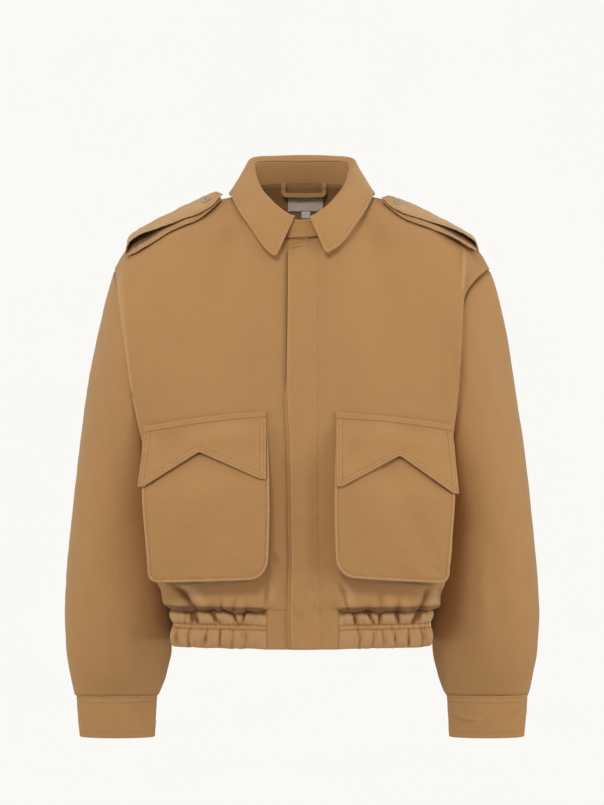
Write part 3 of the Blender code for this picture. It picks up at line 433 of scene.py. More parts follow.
class Net(Cloth):
    """Cloth as a grid of rows, whose points run along each row in turn."""

    def __init__(self, places: np.ndarray, closed: bool = False) -> None:
        """Makes the net.

        Args:
            places: rows of points.
            closed: whether each row's end meets its start.
        """
        rows, columns = self.shape = places.shape[:2]
        self.closed = closed
        ring = np.concatenate([places, places[:, :1]], axis=1) if closed else places
        across = np.linalg.norm(np.diff(ring, axis=1), axis=2)
        self.across = np.concatenate([np.zeros((rows, 1)), np.cumsum(across, axis=1)], axis=1)
        down = np.linalg.norm(np.diff(ring, axis=0), axis=2)
        self.down = np.concatenate([np.zeros((1, ring.shape[1])), np.cumsum(down, axis=0)], axis=0)
        flat = np.stack([self.across, self.down], axis=-1)
        i, j = np.meshgrid(np.arange(ring.shape[1] - 1), np.arange(rows - 1))
        i, j = i.ravel(), j.ravel()
        left, right = j * columns + i, j * columns + (i + 1) % columns
        faces = np.stack([left, right, right + columns, left + columns], axis=1)
        corners = [flat[j, i], flat[j, i + 1], flat[j + 1, i + 1], flat[j + 1, i]]
        super().__init__(places.reshape(-1, 3), faces, np.stack(corners, axis=1))

    def trimmed(self, keep: Callable[[np.ndarray, np.ndarray], np.ndarray]) -> None:
        """Cuts away the faces of an open net that `keep` is false for, by their row and column."""
        i, j = np.meshgrid(np.arange(self.shape[1] - 1), np.arange(self.shape[0] - 1))
        kept = keep(j.ravel(), i.ravel())
        self.faces, self.flat = self.faces[kept], self.flat[kept]

    def grid(self) -> np.ndarray:
        """The points, row by row."""
        return self.places.reshape(*self.shape, 3)

    def free_edge(self) -> np.ndarray:
        """The edge down the first column, along the last row and up the last column."""
        grid = self.grid()
        return np.concatenate([grid[:-1, 0], grid[-1, :-1], grid[::-1, -1]])

    def cut(self) -> tuple[float, float]:
        """The flat piece's greatest width and length, in metres."""
        return float(self.across[:, -1].max() * MM), float(self.down[-1].max() * MM)

    def line(self, rows: np.ndarray, columns: np.ndarray) -> Path:
        """A path over the net through rows and columns, which may be parts of one."""
        count = self.shape[1]
        r = np.clip(rows, 0, self.shape[0] - 1.0001)
        c = columns % count if self.closed else np.clip(columns, 0, count - 1.0001)
        r0, c0 = np.floor(r).astype(int), np.floor(c).astype(int)
        fr, fc = (r - r0)[:, None], (c - c0)[:, None]
        c1 = (c0 + 1) % count
        found = []
        for values in (self.places, self.normals()):
            grid = values.reshape(*self.shape, 3)
            top = grid[r0, c0] * (1 - fc) + grid[r0, c1] * fc
            low = grid[r0 + 1, c0] * (1 - fc) + grid[r0 + 1, c1] * fc
            found.append(top * (1 - fr) + low * fr)
        return found[0], found[1]

    def along_row(self, distance: float, start: float = 0, end: float = 0, from_last: bool = False) -> Path:
        """A path that keeps its distance from the first or last row.

        Args:
            distance: how far from that row it runs.
            start: how far after the first column it starts.
            end: how far before the last column it ends.
            from_last: whether the distance is from the last row.

        Returns:
            The path's points and normals.
        """
        middle, last = self.across[self.shape[0] // 2], self.down.shape[1] - 1
        ends = place_on(middle, start), place_on(middle, end, True)
        columns = np.linspace(*ends, max(int(self.across[:, -1].mean()), 8))
        rows = [place_on(self.down[:, int(min(c, last))], distance, from_last) for c in columns]
        return self.line(np.array(rows), columns)

    def along_column(self, distance: float, start: float, end: float, from_last: bool = False) -> Path:
        """A path that keeps its distance from the first or last column, as along_row does from a row."""
        down = self.down.mean(1)
        rows = np.linspace(place_on(down, start), place_on(down, end, True), max(int(down[-1]), 8))
        columns = [place_on(self.across[int(r)], distance, from_last) for r in rows]
        return self.line(rows, np.array(columns))


def joined(parts: Sequence[Cloth]) -> Cloth:
    """One piece of cloth from several that share the points along their seams."""
    places = np.concatenate([part.places for part in parts])
    shift = np.cumsum([0] + [len(part.places) for part in parts[:-1]])
    faces = np.concatenate([part.faces + n for part, n in zip(parts, shift)])
    _, first, back = np.unique(np.round(places, 2) + 0.0, axis=0, return_index=True, return_inverse=True)
    whole = Cloth(places[first], back.ravel()[faces], np.concatenate([part.flat for part in parts]))
    whole.relief = np.concatenate([part.relief for part in parts])[first]
    return whole


def from_axis(x: float, y: float) -> Callable[[np.ndarray], np.ndarray]:
    """For cloth that looks away from an upright line."""
    return lambda centres: centres * [0, 0, 1] + [x, y, 0]


def from_plane(direction: Sequence[float]) -> Callable[[np.ndarray], np.ndarray]:
    """For cloth that looks along a direction."""
    return lambda centres: centres - np.array(direction, float)


def make_mesh(
    name: str,
    places: np.ndarray,
    faces: np.ndarray,
    finish: bpy.types.Material,
    flat: np.ndarray | None = None,
    relief: np.ndarray | None = None,
) -> bpy.types.Object:
    """Makes an object from arrays.

    Args:
        name: its name.
        places: its points, in millimetres.
        faces: four points for each face.
        finish: its material.
        flat: where each face's corners lie on the flat cloth, in millimetres.
        relief: each point's height over the plain form, with painted shade and highlight added, which the
            finish reads.

    Returns:
        The new object.
    """
    used, again = np.unique(faces, return_inverse=True)
    places, faces = np.asarray(places)[used], again.reshape(faces.shape)
    mesh = bpy.data.meshes.new(name)
    mesh.vertices.add(len(places))
    mesh.vertices.foreach_set("co", (places * MM).astype(np.float32).ravel())
    mesh.loops.add(faces.size)
    mesh.loops.foreach_set("vertex_index", faces.astype(np.int32).ravel())
    mesh.polygons.add(len(faces))
    mesh.polygons.foreach_set("loop_start", np.arange(0, faces.size, faces.shape[1], dtype=np.int32))
    mesh.update(calc_edges=True)
    if flat is not None:
        layer = mesh.uv_layers.new(name="cloth")
        layer.data.foreach_set("uv", (flat * MM).astype(np.float32).ravel())
    if relief is not None:
        height = mesh.attributes.new("relief", "FLOAT", "POINT")
        height.data.foreach_set("value", relief[used].astype(np.float32))
    mesh.validate()
    mesh.shade_smooth()
    made = bpy.data.objects.new(name, mesh)
    bpy.context.scene.collection.objects.link(made)
    mesh.materials.append(finish)
    return made


# Finishes ---------------------------------------------------------------------------------------------


def tinted(colour: Colour, share: float = 1.0) -> tuple[float, ...]:
    """A colour made darker or lighter, with its alpha."""
    return (*(share * c for c in colour), 1)


@dataclass(frozen=True)
class Graph:
    """A material's node graph, with short ways to add to it."""

    made: bpy.types.Material

    @staticmethod
    def named(name: str) -> Graph:
        """Starts a material that holds only a Principled shader and its output."""
        made = bpy.data.materials.new(name)
        made.use_nodes = True
        return Graph(made)

    def put(self, value: object, target: bpy.types.NodeSocket) -> None:
        """Links the target to a socket, or sets it to a value."""
        if isinstance(value, bpy.types.NodeSocket):
            self.made.node_tree.links.new(value, target)
        else:
            target.default_value = value

    def add(self, kind: str, **sockets: object) -> bpy.types.Node:
        """Adds a node.

        Args:
            kind: the node's Blender type.
            sockets: input values by name with _ for a space, or properties of the node.

        Returns:
            The node.
        """
        node = self.made.node_tree.nodes.new(kind)
        for key, value in sockets.items():
            if hasattr(node, key):
                setattr(node, key, value)
            else:
                self.put(value, node.inputs[key.replace("_", " ")])
        return node

    def sum(self, operation: str, a: object, b: object) -> bpy.types.NodeSocket:
        """Adds a Math node on two numbers or sockets and gives its result."""
        node = self.add("ShaderNodeMath", operation=operation)
        for value, target in zip((a, b), node.inputs):
            self.put(value, target)
        return node.outputs[0]

    def blend(self, share: object, a: object, b: object) -> bpy.types.NodeSocket:
        """Mixes two colours by a share, each of the three a value or a socket."""
        node = self.add("ShaderNodeMix", data_type="RGBA")
        for k, value in ((0, share), (6, a), (7, b)):
            self.put(value, node.inputs[k])
        return node.outputs[2]

    def noise(self, vector: bpy.types.NodeSocket, lump: float, detail: float = 2) -> bpy.types.NodeSocket:
        """Noise whose lumps are `lump` metres across, from 0 to 1."""
        return self.add("ShaderNodeTexNoise", Vector=vector, Scale=1 / lump, Detail=detail).outputs[0]

    def wave(self, vector: bpy.types.NodeSocket, width: float, **sockets: object) -> bpy.types.NodeSocket:
        """Bands `width` metres wide, from 0 to 1."""
        return self.add("ShaderNodeTexWave", Vector=vector, Scale=WAVE / width, **sockets).outputs["Fac"]

    def bump(
        self, height: bpy.types.NodeSocket, strength: float, depth: float, **sockets: object
    ) -> bpy.types.NodeSocket:
        """The normal of a surface raised by a height, `depth` metres for each 1 of it."""
        node = self.add("ShaderNodeBump", Height=height, Strength=strength, Distance=depth, **sockets)
        return node.outputs[0]

    def finished(self, **sockets: object) -> bpy.types.Material:
        """Gives the Principled shader its values and links, by name with _ for a space."""
        for key, value in sockets.items():
            self.put(value, self.made.node_tree.nodes["Principled BSDF"].inputs[key.replace("_", " ")])
        return self.made


@dataclass(frozen=True)
class Twill:
    """Heavy cotton twill, garment washed: a faint diagonal, a soft nap, paler raised seams with painted
    highlight, and painted shade in its dents.
    """

    name: str = "cotton_twill"
    colour: Colour = (0.50, 0.262, 0.098)
    # pale: what wear and painted highlight turn the ridges towards; deep: the colour of the painted shade
    pale: Colour = (0.72, 0.49, 0.27)
    deep: Colour = (0.16, 0.070, 0.022)
    nap_tint: Colour = (1.0, 0.84, 0.62)
    wale: float = 0.0011
    yarn: float = 0.62
    slant: float = 0.96
    roughness: float = 0.88
    sheen: float = 0.32

    def make(self) -> bpy.types.Material:
        """Builds the material on the cloth's own flat coordinates."""
        graph = Graph.named(self.name)
        flat = graph.add("ShaderNodeUVMap", uv_map="cloth").outputs[0]
        cloudy, mottled = graph.noise(flat, 0.045, 3), graph.noise(flat, 0.006, 3)
        slubs = graph.add("ShaderNodeMapping", Vector=flat, Scale=(1.0, 0.16, 1.0)).outputs[0]
        slub = graph.noise(slubs, 0.0016)
        shade = graph.sum("ADD", graph.sum("MULTIPLY", cloudy, 0.5), graph.sum("MULTIPLY", mottled, 0.3))
        shade = graph.sum("ADD", shade, graph.sum("MULTIPLY", slub, 0.2))
        ground = graph.blend(shade, tinted(self.colour, 0.90), tinted(self.colour, 1.09))
        return graph.finished(
            Base_Color=self.wear_and_painted_light(graph, ground),
            Normal=self.surface(graph, flat, slub, mottled),
            Roughness=self.roughness,
            Specular_IOR_Level=0.25,
            Sheen_Weight=self.sheen,
            Sheen_Roughness=0.45,
            Sheen_Tint=tinted(self.nap_tint),
        )

    def wear_and_painted_light(self, graph: Graph, ground: bpy.types.NodeSocket) -> bpy.types.NodeSocket:
        """The cloth's colour, paler on what stands proud, from wear and painted highlight, and darker in its
        dents and under other pieces, from painted shade.
        """
        relief = graph.add("ShaderNodeAttribute", attribute_name="relief").outputs["Fac"]
        # high pales the ridges, for wear and painted highlight; low darkens the dents with painted shade
        high = graph.sum("MULTIPLY", graph.sum("SUBTRACT", relief, 0.08), 0.34)
        low = graph.sum("MULTIPLY", graph.sum("SUBTRACT", -0.06, relief), 0.43)
        wear_and_painted_light = graph.add("ShaderNodeClamp", Value=high, Max=0.5).outputs[0]
        sunk = graph.add("ShaderNodeClamp", Value=low, Max=0.85).outputs[0]
        return graph.blend(sunk, graph.blend(wear_and_painted_light, ground, tinted(self.pale)), tinted(self.deep))

    def surface(
        self,
        graph: Graph,
        flat: bpy.types.NodeSocket,
        slub: bpy.types.NodeSocket,
        mottled: bpy.types.NodeSocket,
    ) -> bpy.types.NodeSocket:
        """The twill's diagonal wales, broken by its yarns, and the nap over them.

        Args:
            graph: the material's graph.
            flat: the cloth's flat coordinates.
            slub: the yarns' unevenness.
            mottled: the nap's.

        Returns:
            The bumped normal.
        """
        turned = graph.add("ShaderNodeMapping", Vector=flat, Rotation=(0, 0, self.slant)).outputs[0]
        wale = graph.wave(turned, self.wale, Distortion=1.2, Detail=1.5, Detail_Scale=2.0)
        yarn = graph.wave(flat, self.wale * self.yarn, bands_direction="Y")
        weave = graph.sum("ADD", wale, graph.sum("MULTIPLY", yarn, 0.5))
        nap = graph.sum("ADD", slub, graph.sum("MULTIPLY", mottled, 1.5))
        return graph.bump(nap, 0.22, 0.0012, Normal=graph.bump(weave, 0.16, 0.0004))


@dataclass(frozen=True)
class Thread:
    """Matt polyester sewing thread, dyed to match."""

    name: str = "sewing_thread"
    colour: Colour = (0.47, 0.262, 0.108)

    def make(self) -> bpy.types.Material:
        """Builds the material, whose colour drifts a little along the seams."""
        graph = Graph.named(self.name)
        place = graph.add("ShaderNodeTexCoord").outputs["Object"]
        drift = graph.noise(place, 0.004, 1)
        return graph.finished(
            Base_Color=graph.blend(drift, tinted(self.colour, 0.84), tinted(self.colour, 1.14)),
            Normal=graph.bump(graph.noise(place, 0.0004, 1), 0.3, 0.0002),
            Roughness=0.6,
        )


@dataclass(frozen=True)
class Button:
    """Horn-like tan plastic with a soft cloud in it."""

    name: str = "horn_button"
    dark: Colour = (0.34, 0.21, 0.13)
    light: Colour = (0.62, 0.45, 0.34)
    cloud: float = 340.0

    def make(self) -> bpy.types.Material:
        """Builds the material on the button's own place."""
        graph = Graph.named(self.name)
        place = graph.add("ShaderNodeTexCoord").outputs["Object"]
        swirl = graph.add("ShaderNodeTexNoise", Vector=place, Scale=self.cloud, Detail=3.0, Distortion=1.6)
        return graph.finished(
            Base_Color=graph.blend(swirl.outputs[0], tinted(self.dark), tinted(self.light)),
            Normal=graph.bump(graph.noise(place, 0.0008), 0.1, 0.0003),
            Roughness=0.42,
            Coat_Weight=0.15,
        )


@dataclass(frozen=True)
class Ribbon:
    """Fine woven tape: the blank neck label and the blank size tab."""

    name: str
    colour: Colour
    shine: float
    rib: float = 0.00045

    def make(self) -> bpy.types.Material:
        """Builds the material on the tape's flat coordinates."""
        graph = Graph.named(self.name)
        flat = graph.add("ShaderNodeUVMap", uv_map="cloth").outputs[0]
        weft, warp = (graph.wave(flat, self.rib, bands_direction=way, Distortion=0.6) for way in "YX")
        weave = graph.sum("MULTIPLY", weft, warp)
        cloud = graph.sum("MULTIPLY", graph.noise(flat, 0.004), 0.8)
        drift = graph.sum("ADD", cloud, graph.sum("MULTIPLY", weave, 0.2))
        return graph.finished(
            Base_Color=graph.blend(drift, tinted(self.colour, 0.86), tinted(self.colour, 1.1)),
            Normal=graph.bump(weave, 0.25, 0.0002),
            Roughness=0.55,
            Sheen_Weight=self.shine,
        )


@dataclass(frozen=True)
class Paper:
    """The studio's white sweep, as bright as the photograph's ground."""

    name: str = "white_sweep"
    colour: Colour = (0.960, 0.952, 0.918)

    def make(self) -> bpy.types.Material:
        """Builds the material: an even white of its own light, with the faintest grain."""
        graph = Graph.named(self.name)
        grain = graph.noise(graph.add("ShaderNodeTexCoord").outputs["Object"], 0.6)
        return graph.finished(
            Emission_Color=graph.blend(grain, tinted(self.colour, 0.992), tinted(self.colour)),
            Emission_Strength=1.0,
            Base_Color=(0, 0, 0, 1),
            Roughness=1.0,
            Specular_IOR_Level=0.0,
        )


# Dressing ---------------------------------------------------------------------------------------------


def dress(piece: bpy.types.Object, node: str) -> None:
    """Puts a finished piece in the place of its solid.

    Args:
        piece: the finished piece.
        node: the solid that it stands for.
    """
    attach(piece, "root")
    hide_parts(node)
    log.info("%s stands for %s: %d faces", piece.name, node, len(piece.data.polygons))


@dataclass(frozen=True)
class Wardrobe:
    """Every finish, made once: one for each slot, and the thread."""

    finish: dict[Slot, bpy.types.Material]
    thread: bpy.types.Material

    @staticmethod
    def make() -> Wardrobe:
        """Builds the finishes."""
        finish = {
            Slot.TWILL: Twill().make(),
            Slot.BUTTON: Button().make(),
            Slot.LABEL: Ribbon("label_satin", (0.86, 0.73, 0.62), 0.3).make(),
            Slot.TAB: Ribbon("tab_tape", (0.97, 0.94, 0.89), 0.1).make(),
        }
        return Wardrobe(finish, Thread().make())

    def wear(
        self,
        cloth: Cloth,
        name: str,
        node: str,
        thickness: float,
        rests_on: Sequence[str] = (),
        held: Held = Held.HUNG,
        slot: Slot = Slot.TWILL,
    ) -> None:
        """Makes a piece of cloth, puts it in its solid's place and measures its flat cut.

        Args:
            cloth: the cut piece.
            name: the new piece's name.
            node: the solid that it stands for.
            thickness: how thick the cloth is.
            rests_on: what it lies on or hangs from; not used.
            held: how it is held; not used.
            slot: the record's slot that its finish belongs to.
        """
        piece = cloth.shell(name, thickness, self.finish[slot])
        dress(piece, node)
        width, length = (round(size, 3) for size in cloth.cut())
        if min(width, length) < NARROWEST * MM:
            return
        area = min(max(cloth.area(), 0.31 * width * length), 0.995 * width * length)
        flat, rests_on = (width, length), list(rests_on)


@dataclass
class Sewing:
    """Rows of stitches, joined into one piece for each part of the jacket."""

    name: str
    thread: bpy.types.Material
    stitch: float = 2.9
    gap: float = 0.75
    radius: float = 0.28
    sunk: float = 0.05
    profile: tuple[tuple[float, float, float], ...] = (
        (0.0, 0.4, -0.6),
        (0.14, 0.95, 0.2),
        (0.5, 1.0, 0.5),
        (0.86, 0.95, 0.2),
        (1.0, 0.4, -0.6),
    )
    rows: list[Path] = field(default_factory=list)

    def add(self, *paths: Path) -> None:
        """Adds a row of stitches along each path."""
        self.rows += paths

    def beside(
        self,
        edge: np.ndarray,
        distances: Sequence[float],
        ends: float,
        look: Callable[[np.ndarray, np.ndarray], Path],
    ) -> None:
        """Adds rows of stitches beside an edge.

        Args:
            edge: the edge, seen level or from above.
            distances: how far to the edge's left each row is.
            ends: how far from the edge's own ends a row stops.
            look: finds the cloth at two flat coordinates.
        """
        for distance in distances:
            path = inset(edge, distance)
            along = travelled(path)
            at = np.linspace(ends, along[-1] - ends, int(along[-1]))
            self.add(look(*(np.interp(at, along, column) for column in path.T)))

    def stitches(self) -> tuple[np.ndarray, np.ndarray, np.ndarray]:
        """Where each stitch starts and ends, and the cloth's normal there."""
        starts, ends, normals = [], [], []
        for places, normal in self.rows:
            travel = travelled(places)
            count = max(int(travel[-1] / (self.stitch + self.gap)), 1)
            first = np.arange(count) * travel[-1] / count + self.gap / 2
            last = first + travel[-1] / count - self.gap
            middle = (first + last) / 2
            for bag, at, values in ((starts, first, places), (ends, last, places), (normals, middle, normal)):
                bag.append(np.stack([np.interp(at, travel, column) for column in values.T], axis=1))
        return np.concatenate(starts), np.concatenate(ends), np.concatenate(normals)

    def make(self) -> None:
        """Makes the piece: each stitch is a short length of thread that dips into the cloth at its ends."""
        start, end, normal = self.stitches()
        normal = unit(normal)
        side = unit(np.cross(normal, end - start))
        rings = []
        for share, wide, lift in self.profile:
            centre = start + (end - start) * share + normal * (lift * self.radius - self.sunk)
            for turn in 2 * pi * (np.arange(4) + 0.5) / 4:
                rings.append(centre + (side * np.cos(turn) + normal * np.sin(turn)) * self.radius * wide)
        places = np.stack(rings, axis=1)
        count, each = places.shape[:2]
        faces = [(0, 1, 2, 3), (each - 1, each - 2, each - 3, each - 4)]
        for ring in range(0, each - 4, 4):
            for k, turn in ((0, 1), (1, 2), (2, 3), (3, 0)):
                faces.append((ring + k, ring + 4 + k, ring + 4 + turn, ring + turn))
        block = np.array(faces) + (np.arange(count) * each)[:, None, None]
        piece = make_mesh(self.name, places.reshape(-1, 3), block.reshape(-1, 4), self.thread)
        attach(piece, "root")
        log.info("%s: %d stitches", self.name, count)


# The jacket's form ------------------------------------------------------------------------------------

NECK, FOLD, RING, SIDE = 2.4, 8, 10, 12  # columns of a panel: neck point, chest corner, armhole, side seam
RING_STEPS = 22  # round the armhole, from the side seam over the front, the shoulder and the back
RAMP = RING_STEPS // 2 - 2  # steps of the armhole that are a panel's own upright edge
HPS = 4  # the neckline's row at the shoulder seam
ARMPIT_Z, BODY_HEM_Z, HEM_Z = -345, -566, -619
ELBOW_Z, CUFF_SEAM_Z, CUFF_END_Z = -470, -694, -752
PANEL, DOUBLE, TRIM, SEAM = 1.5, 2.2, 1.2, 0.3  # how thick the cloth is, and the gap at a seam
STEP = 8.0  # how far down a form is looked at to find its slope


class Level(NamedTuple):
    """A level section of the body: a corner before the arm, a side pressed in by it, a corner behind."""

    z: float
    front_y: float
    left_x: float
    right_x: float
    corner_y: float
    side_x: float
    back_x: float
    back_corner_y: float
    back_y: float


class Neck(NamedTuple):
    """A row round the neck, centre front to centre back: seam, top of the stand, roll, leaf's edge."""

    x: float
    y: float
    z: float
    stand_x: float
    stand_y: float
    stand_z: float
    roll_x: float
    roll_y: float
    roll_z: float
    edge_x: float
    edge_y: float
    edge_z: float


class Place(NamedTuple):
    """A point of the shoulder seam."""

    x: float
    y: float
    z: float


class Pair(NamedTuple):
    """A point of a line that each side has its own of."""

    at: float
    left_x: float
    left_y: float
    left_z: float
    right_x: float
    right_y: float
    right_z: float

    def on(self, side: Side) -> tuple[float, ...]:
        """The side's own point."""
        return self[1:4] if side is Side.LEFT else self[4:7]


class Oval(NamedTuple):
    """A level section of a sleeve."""

    z: float
    centre_x: float
    centre_y: float
    half_width: float
    half_depth: float


LEVELS = (
    Level(BODY_HEM_Z, -111, 173, 174, -68, 168, 168, 72, 106),
    Level(-556, -119, 181, 182, -75, 171, 175, 80, 113),
    Level(-542, -124, 189, 191, -80, 174, 183, 86, 119),
    Level(-515, -127, 198, 202, -84, 176, 190, 90, 123),
    Level(-460, -127, 203, 210, -85, 177, 192, 90, 122),
    Level(-400, -126, 203, 213, -85, 180, 193, 89, 120),
    Level(-370, -125, 203, 215, -85, 186, 196, 88, 119),
    Level(ARMPIT_Z, -124, 203, 216, -85, 195, 199, 87, 118),
)

NECKLINE = (
    Neck(0, -90, -72, 0, -89, -44, 11, -94, -40, 35.5, -112, -95),
    Neck(28, -86, -66, 26, -83, -35, 28, -86, -29, 50, -104, -83),
    Neck(52, -68, -46, 46, -60, -14, 49, -62, -9, 67, -86, -58),
    Neck(67, -38, -22, 59, -30, 5, 62, -31, 9, 86, -48, -29),
    Neck(74, 6, -1, 66, 4, 25, 69, 4, 31, 99.5, 2, -1),
    Neck(64, 42, 11, 65, 38, 43, 69.5, 41, 51.5, 97, 50, -1),
    Neck(36, 60, 16, 37, 56, 47, 40, 60, 57, 58, 80, 5),
    Neck(0, 64, 17, 0, 60, 47, 0, 63, 58, 0, 90, 9),
)

SHOULDER = (
    Place(74, 6, -1),
    Place(92, 5, -5),
    Place(110, 4, -9),
    Place(147, 3, -20),
    Place(176, 3, -34),
    Place(208, 3, -52),
    Place(234, 4, -70),
    Place(250, 5, -90),
    Place(258, 5, -105),
)

ARMHOLE = (
    Pair(0, 195, 4, -345, 195, 4, -345),
    Pair(2, 202, -54, -334, 211, -68, -331),
    Pair(4, 204, -67, -286, 222.5, -90, -286),
    Pair(6, 206, -67, -228, 231, -91, -229),
    Pair(8, 213, -61, -172, 240.5, -77, -174),
    Pair(9.5, 226, -44, -134, 250, -44, -130),
    Pair(11, 258, 5, -105, 258, 5, -105),
    Pair(12.5, 249, 52, -131, 249, 52, -131),
    Pair(14, 240, 80, -172, 240, 80, -172),
    Pair(16, 229, 97, -228, 229, 97, -228),
    Pair(18, 219, 99, -286, 219, 99, -286),
    Pair(20, 205, 72, -334, 205, 72, -334),
    Pair(22, 195, 4, -345, 195, 4, -345),
)

CHEST_FOLD = (
    Pair(0.0, 203, -85, -345, 216, -85, -345),
    Pair(0.2, 206, -97, -288, 226.5, -98, -289),
    Pair(0.4, 209, -100, -228, 235.5, -99, -232),
    Pair(0.6, 212, -93, -170, 243.5, -87, -180),
    Pair(0.8, 216, -66, -112, 251, -53, -131),
    Pair(1.0, 220, 3, -60, 252, 5, -94),
)

SLEEVE = (
    Oval(ELBOW_Z, 251.0, 22, 70.5, 82),
    Oval(-510, 252.8, 21, 72.8, 79),
    Oval(-550, 253.6, 20, 74.6, 74),
    Oval(-585, 254.1, 19, 75.5, 68),
    Oval(-615, 254.4, 18, 73.7, 61),
    Oval(-640, 254.0, 17, 72.1, 53),
    Oval(-660, 254.3, 16, 67.7, 45),
    Oval(-680, 254.9, 15, 62.7, 35),
    Oval(CUFF_SEAM_Z, 256.2, 14, 57.8, 27),
)

CUFF = (
    Oval(CUFF_SEAM_Z - SEAM, 256.6, 14, 55.9, 26),
    Oval(-716, 256.6, 14, 54.7, 25),
    Oval(CUFF_END_Z, 255.8, 14, 52.2, 22.5),
)


def strap_slope(side: Side, x: np.ndarray) -> np.ndarray:
    """How steeply a shoulder strap falls towards the front, most of all at its point."""
    if side is Side.LEFT:
        return 0.34 + 0.38 * rise(x, 210, 126)
    return 0.50 + 0.30 * rise(x, 188, 118)


def shoulder_z(x: np.ndarray) -> np.ndarray:
    """The shoulder seam's height at x."""
    return smooth([row.x for row in SHOULDER], [row.z for row in SHOULDER], x)


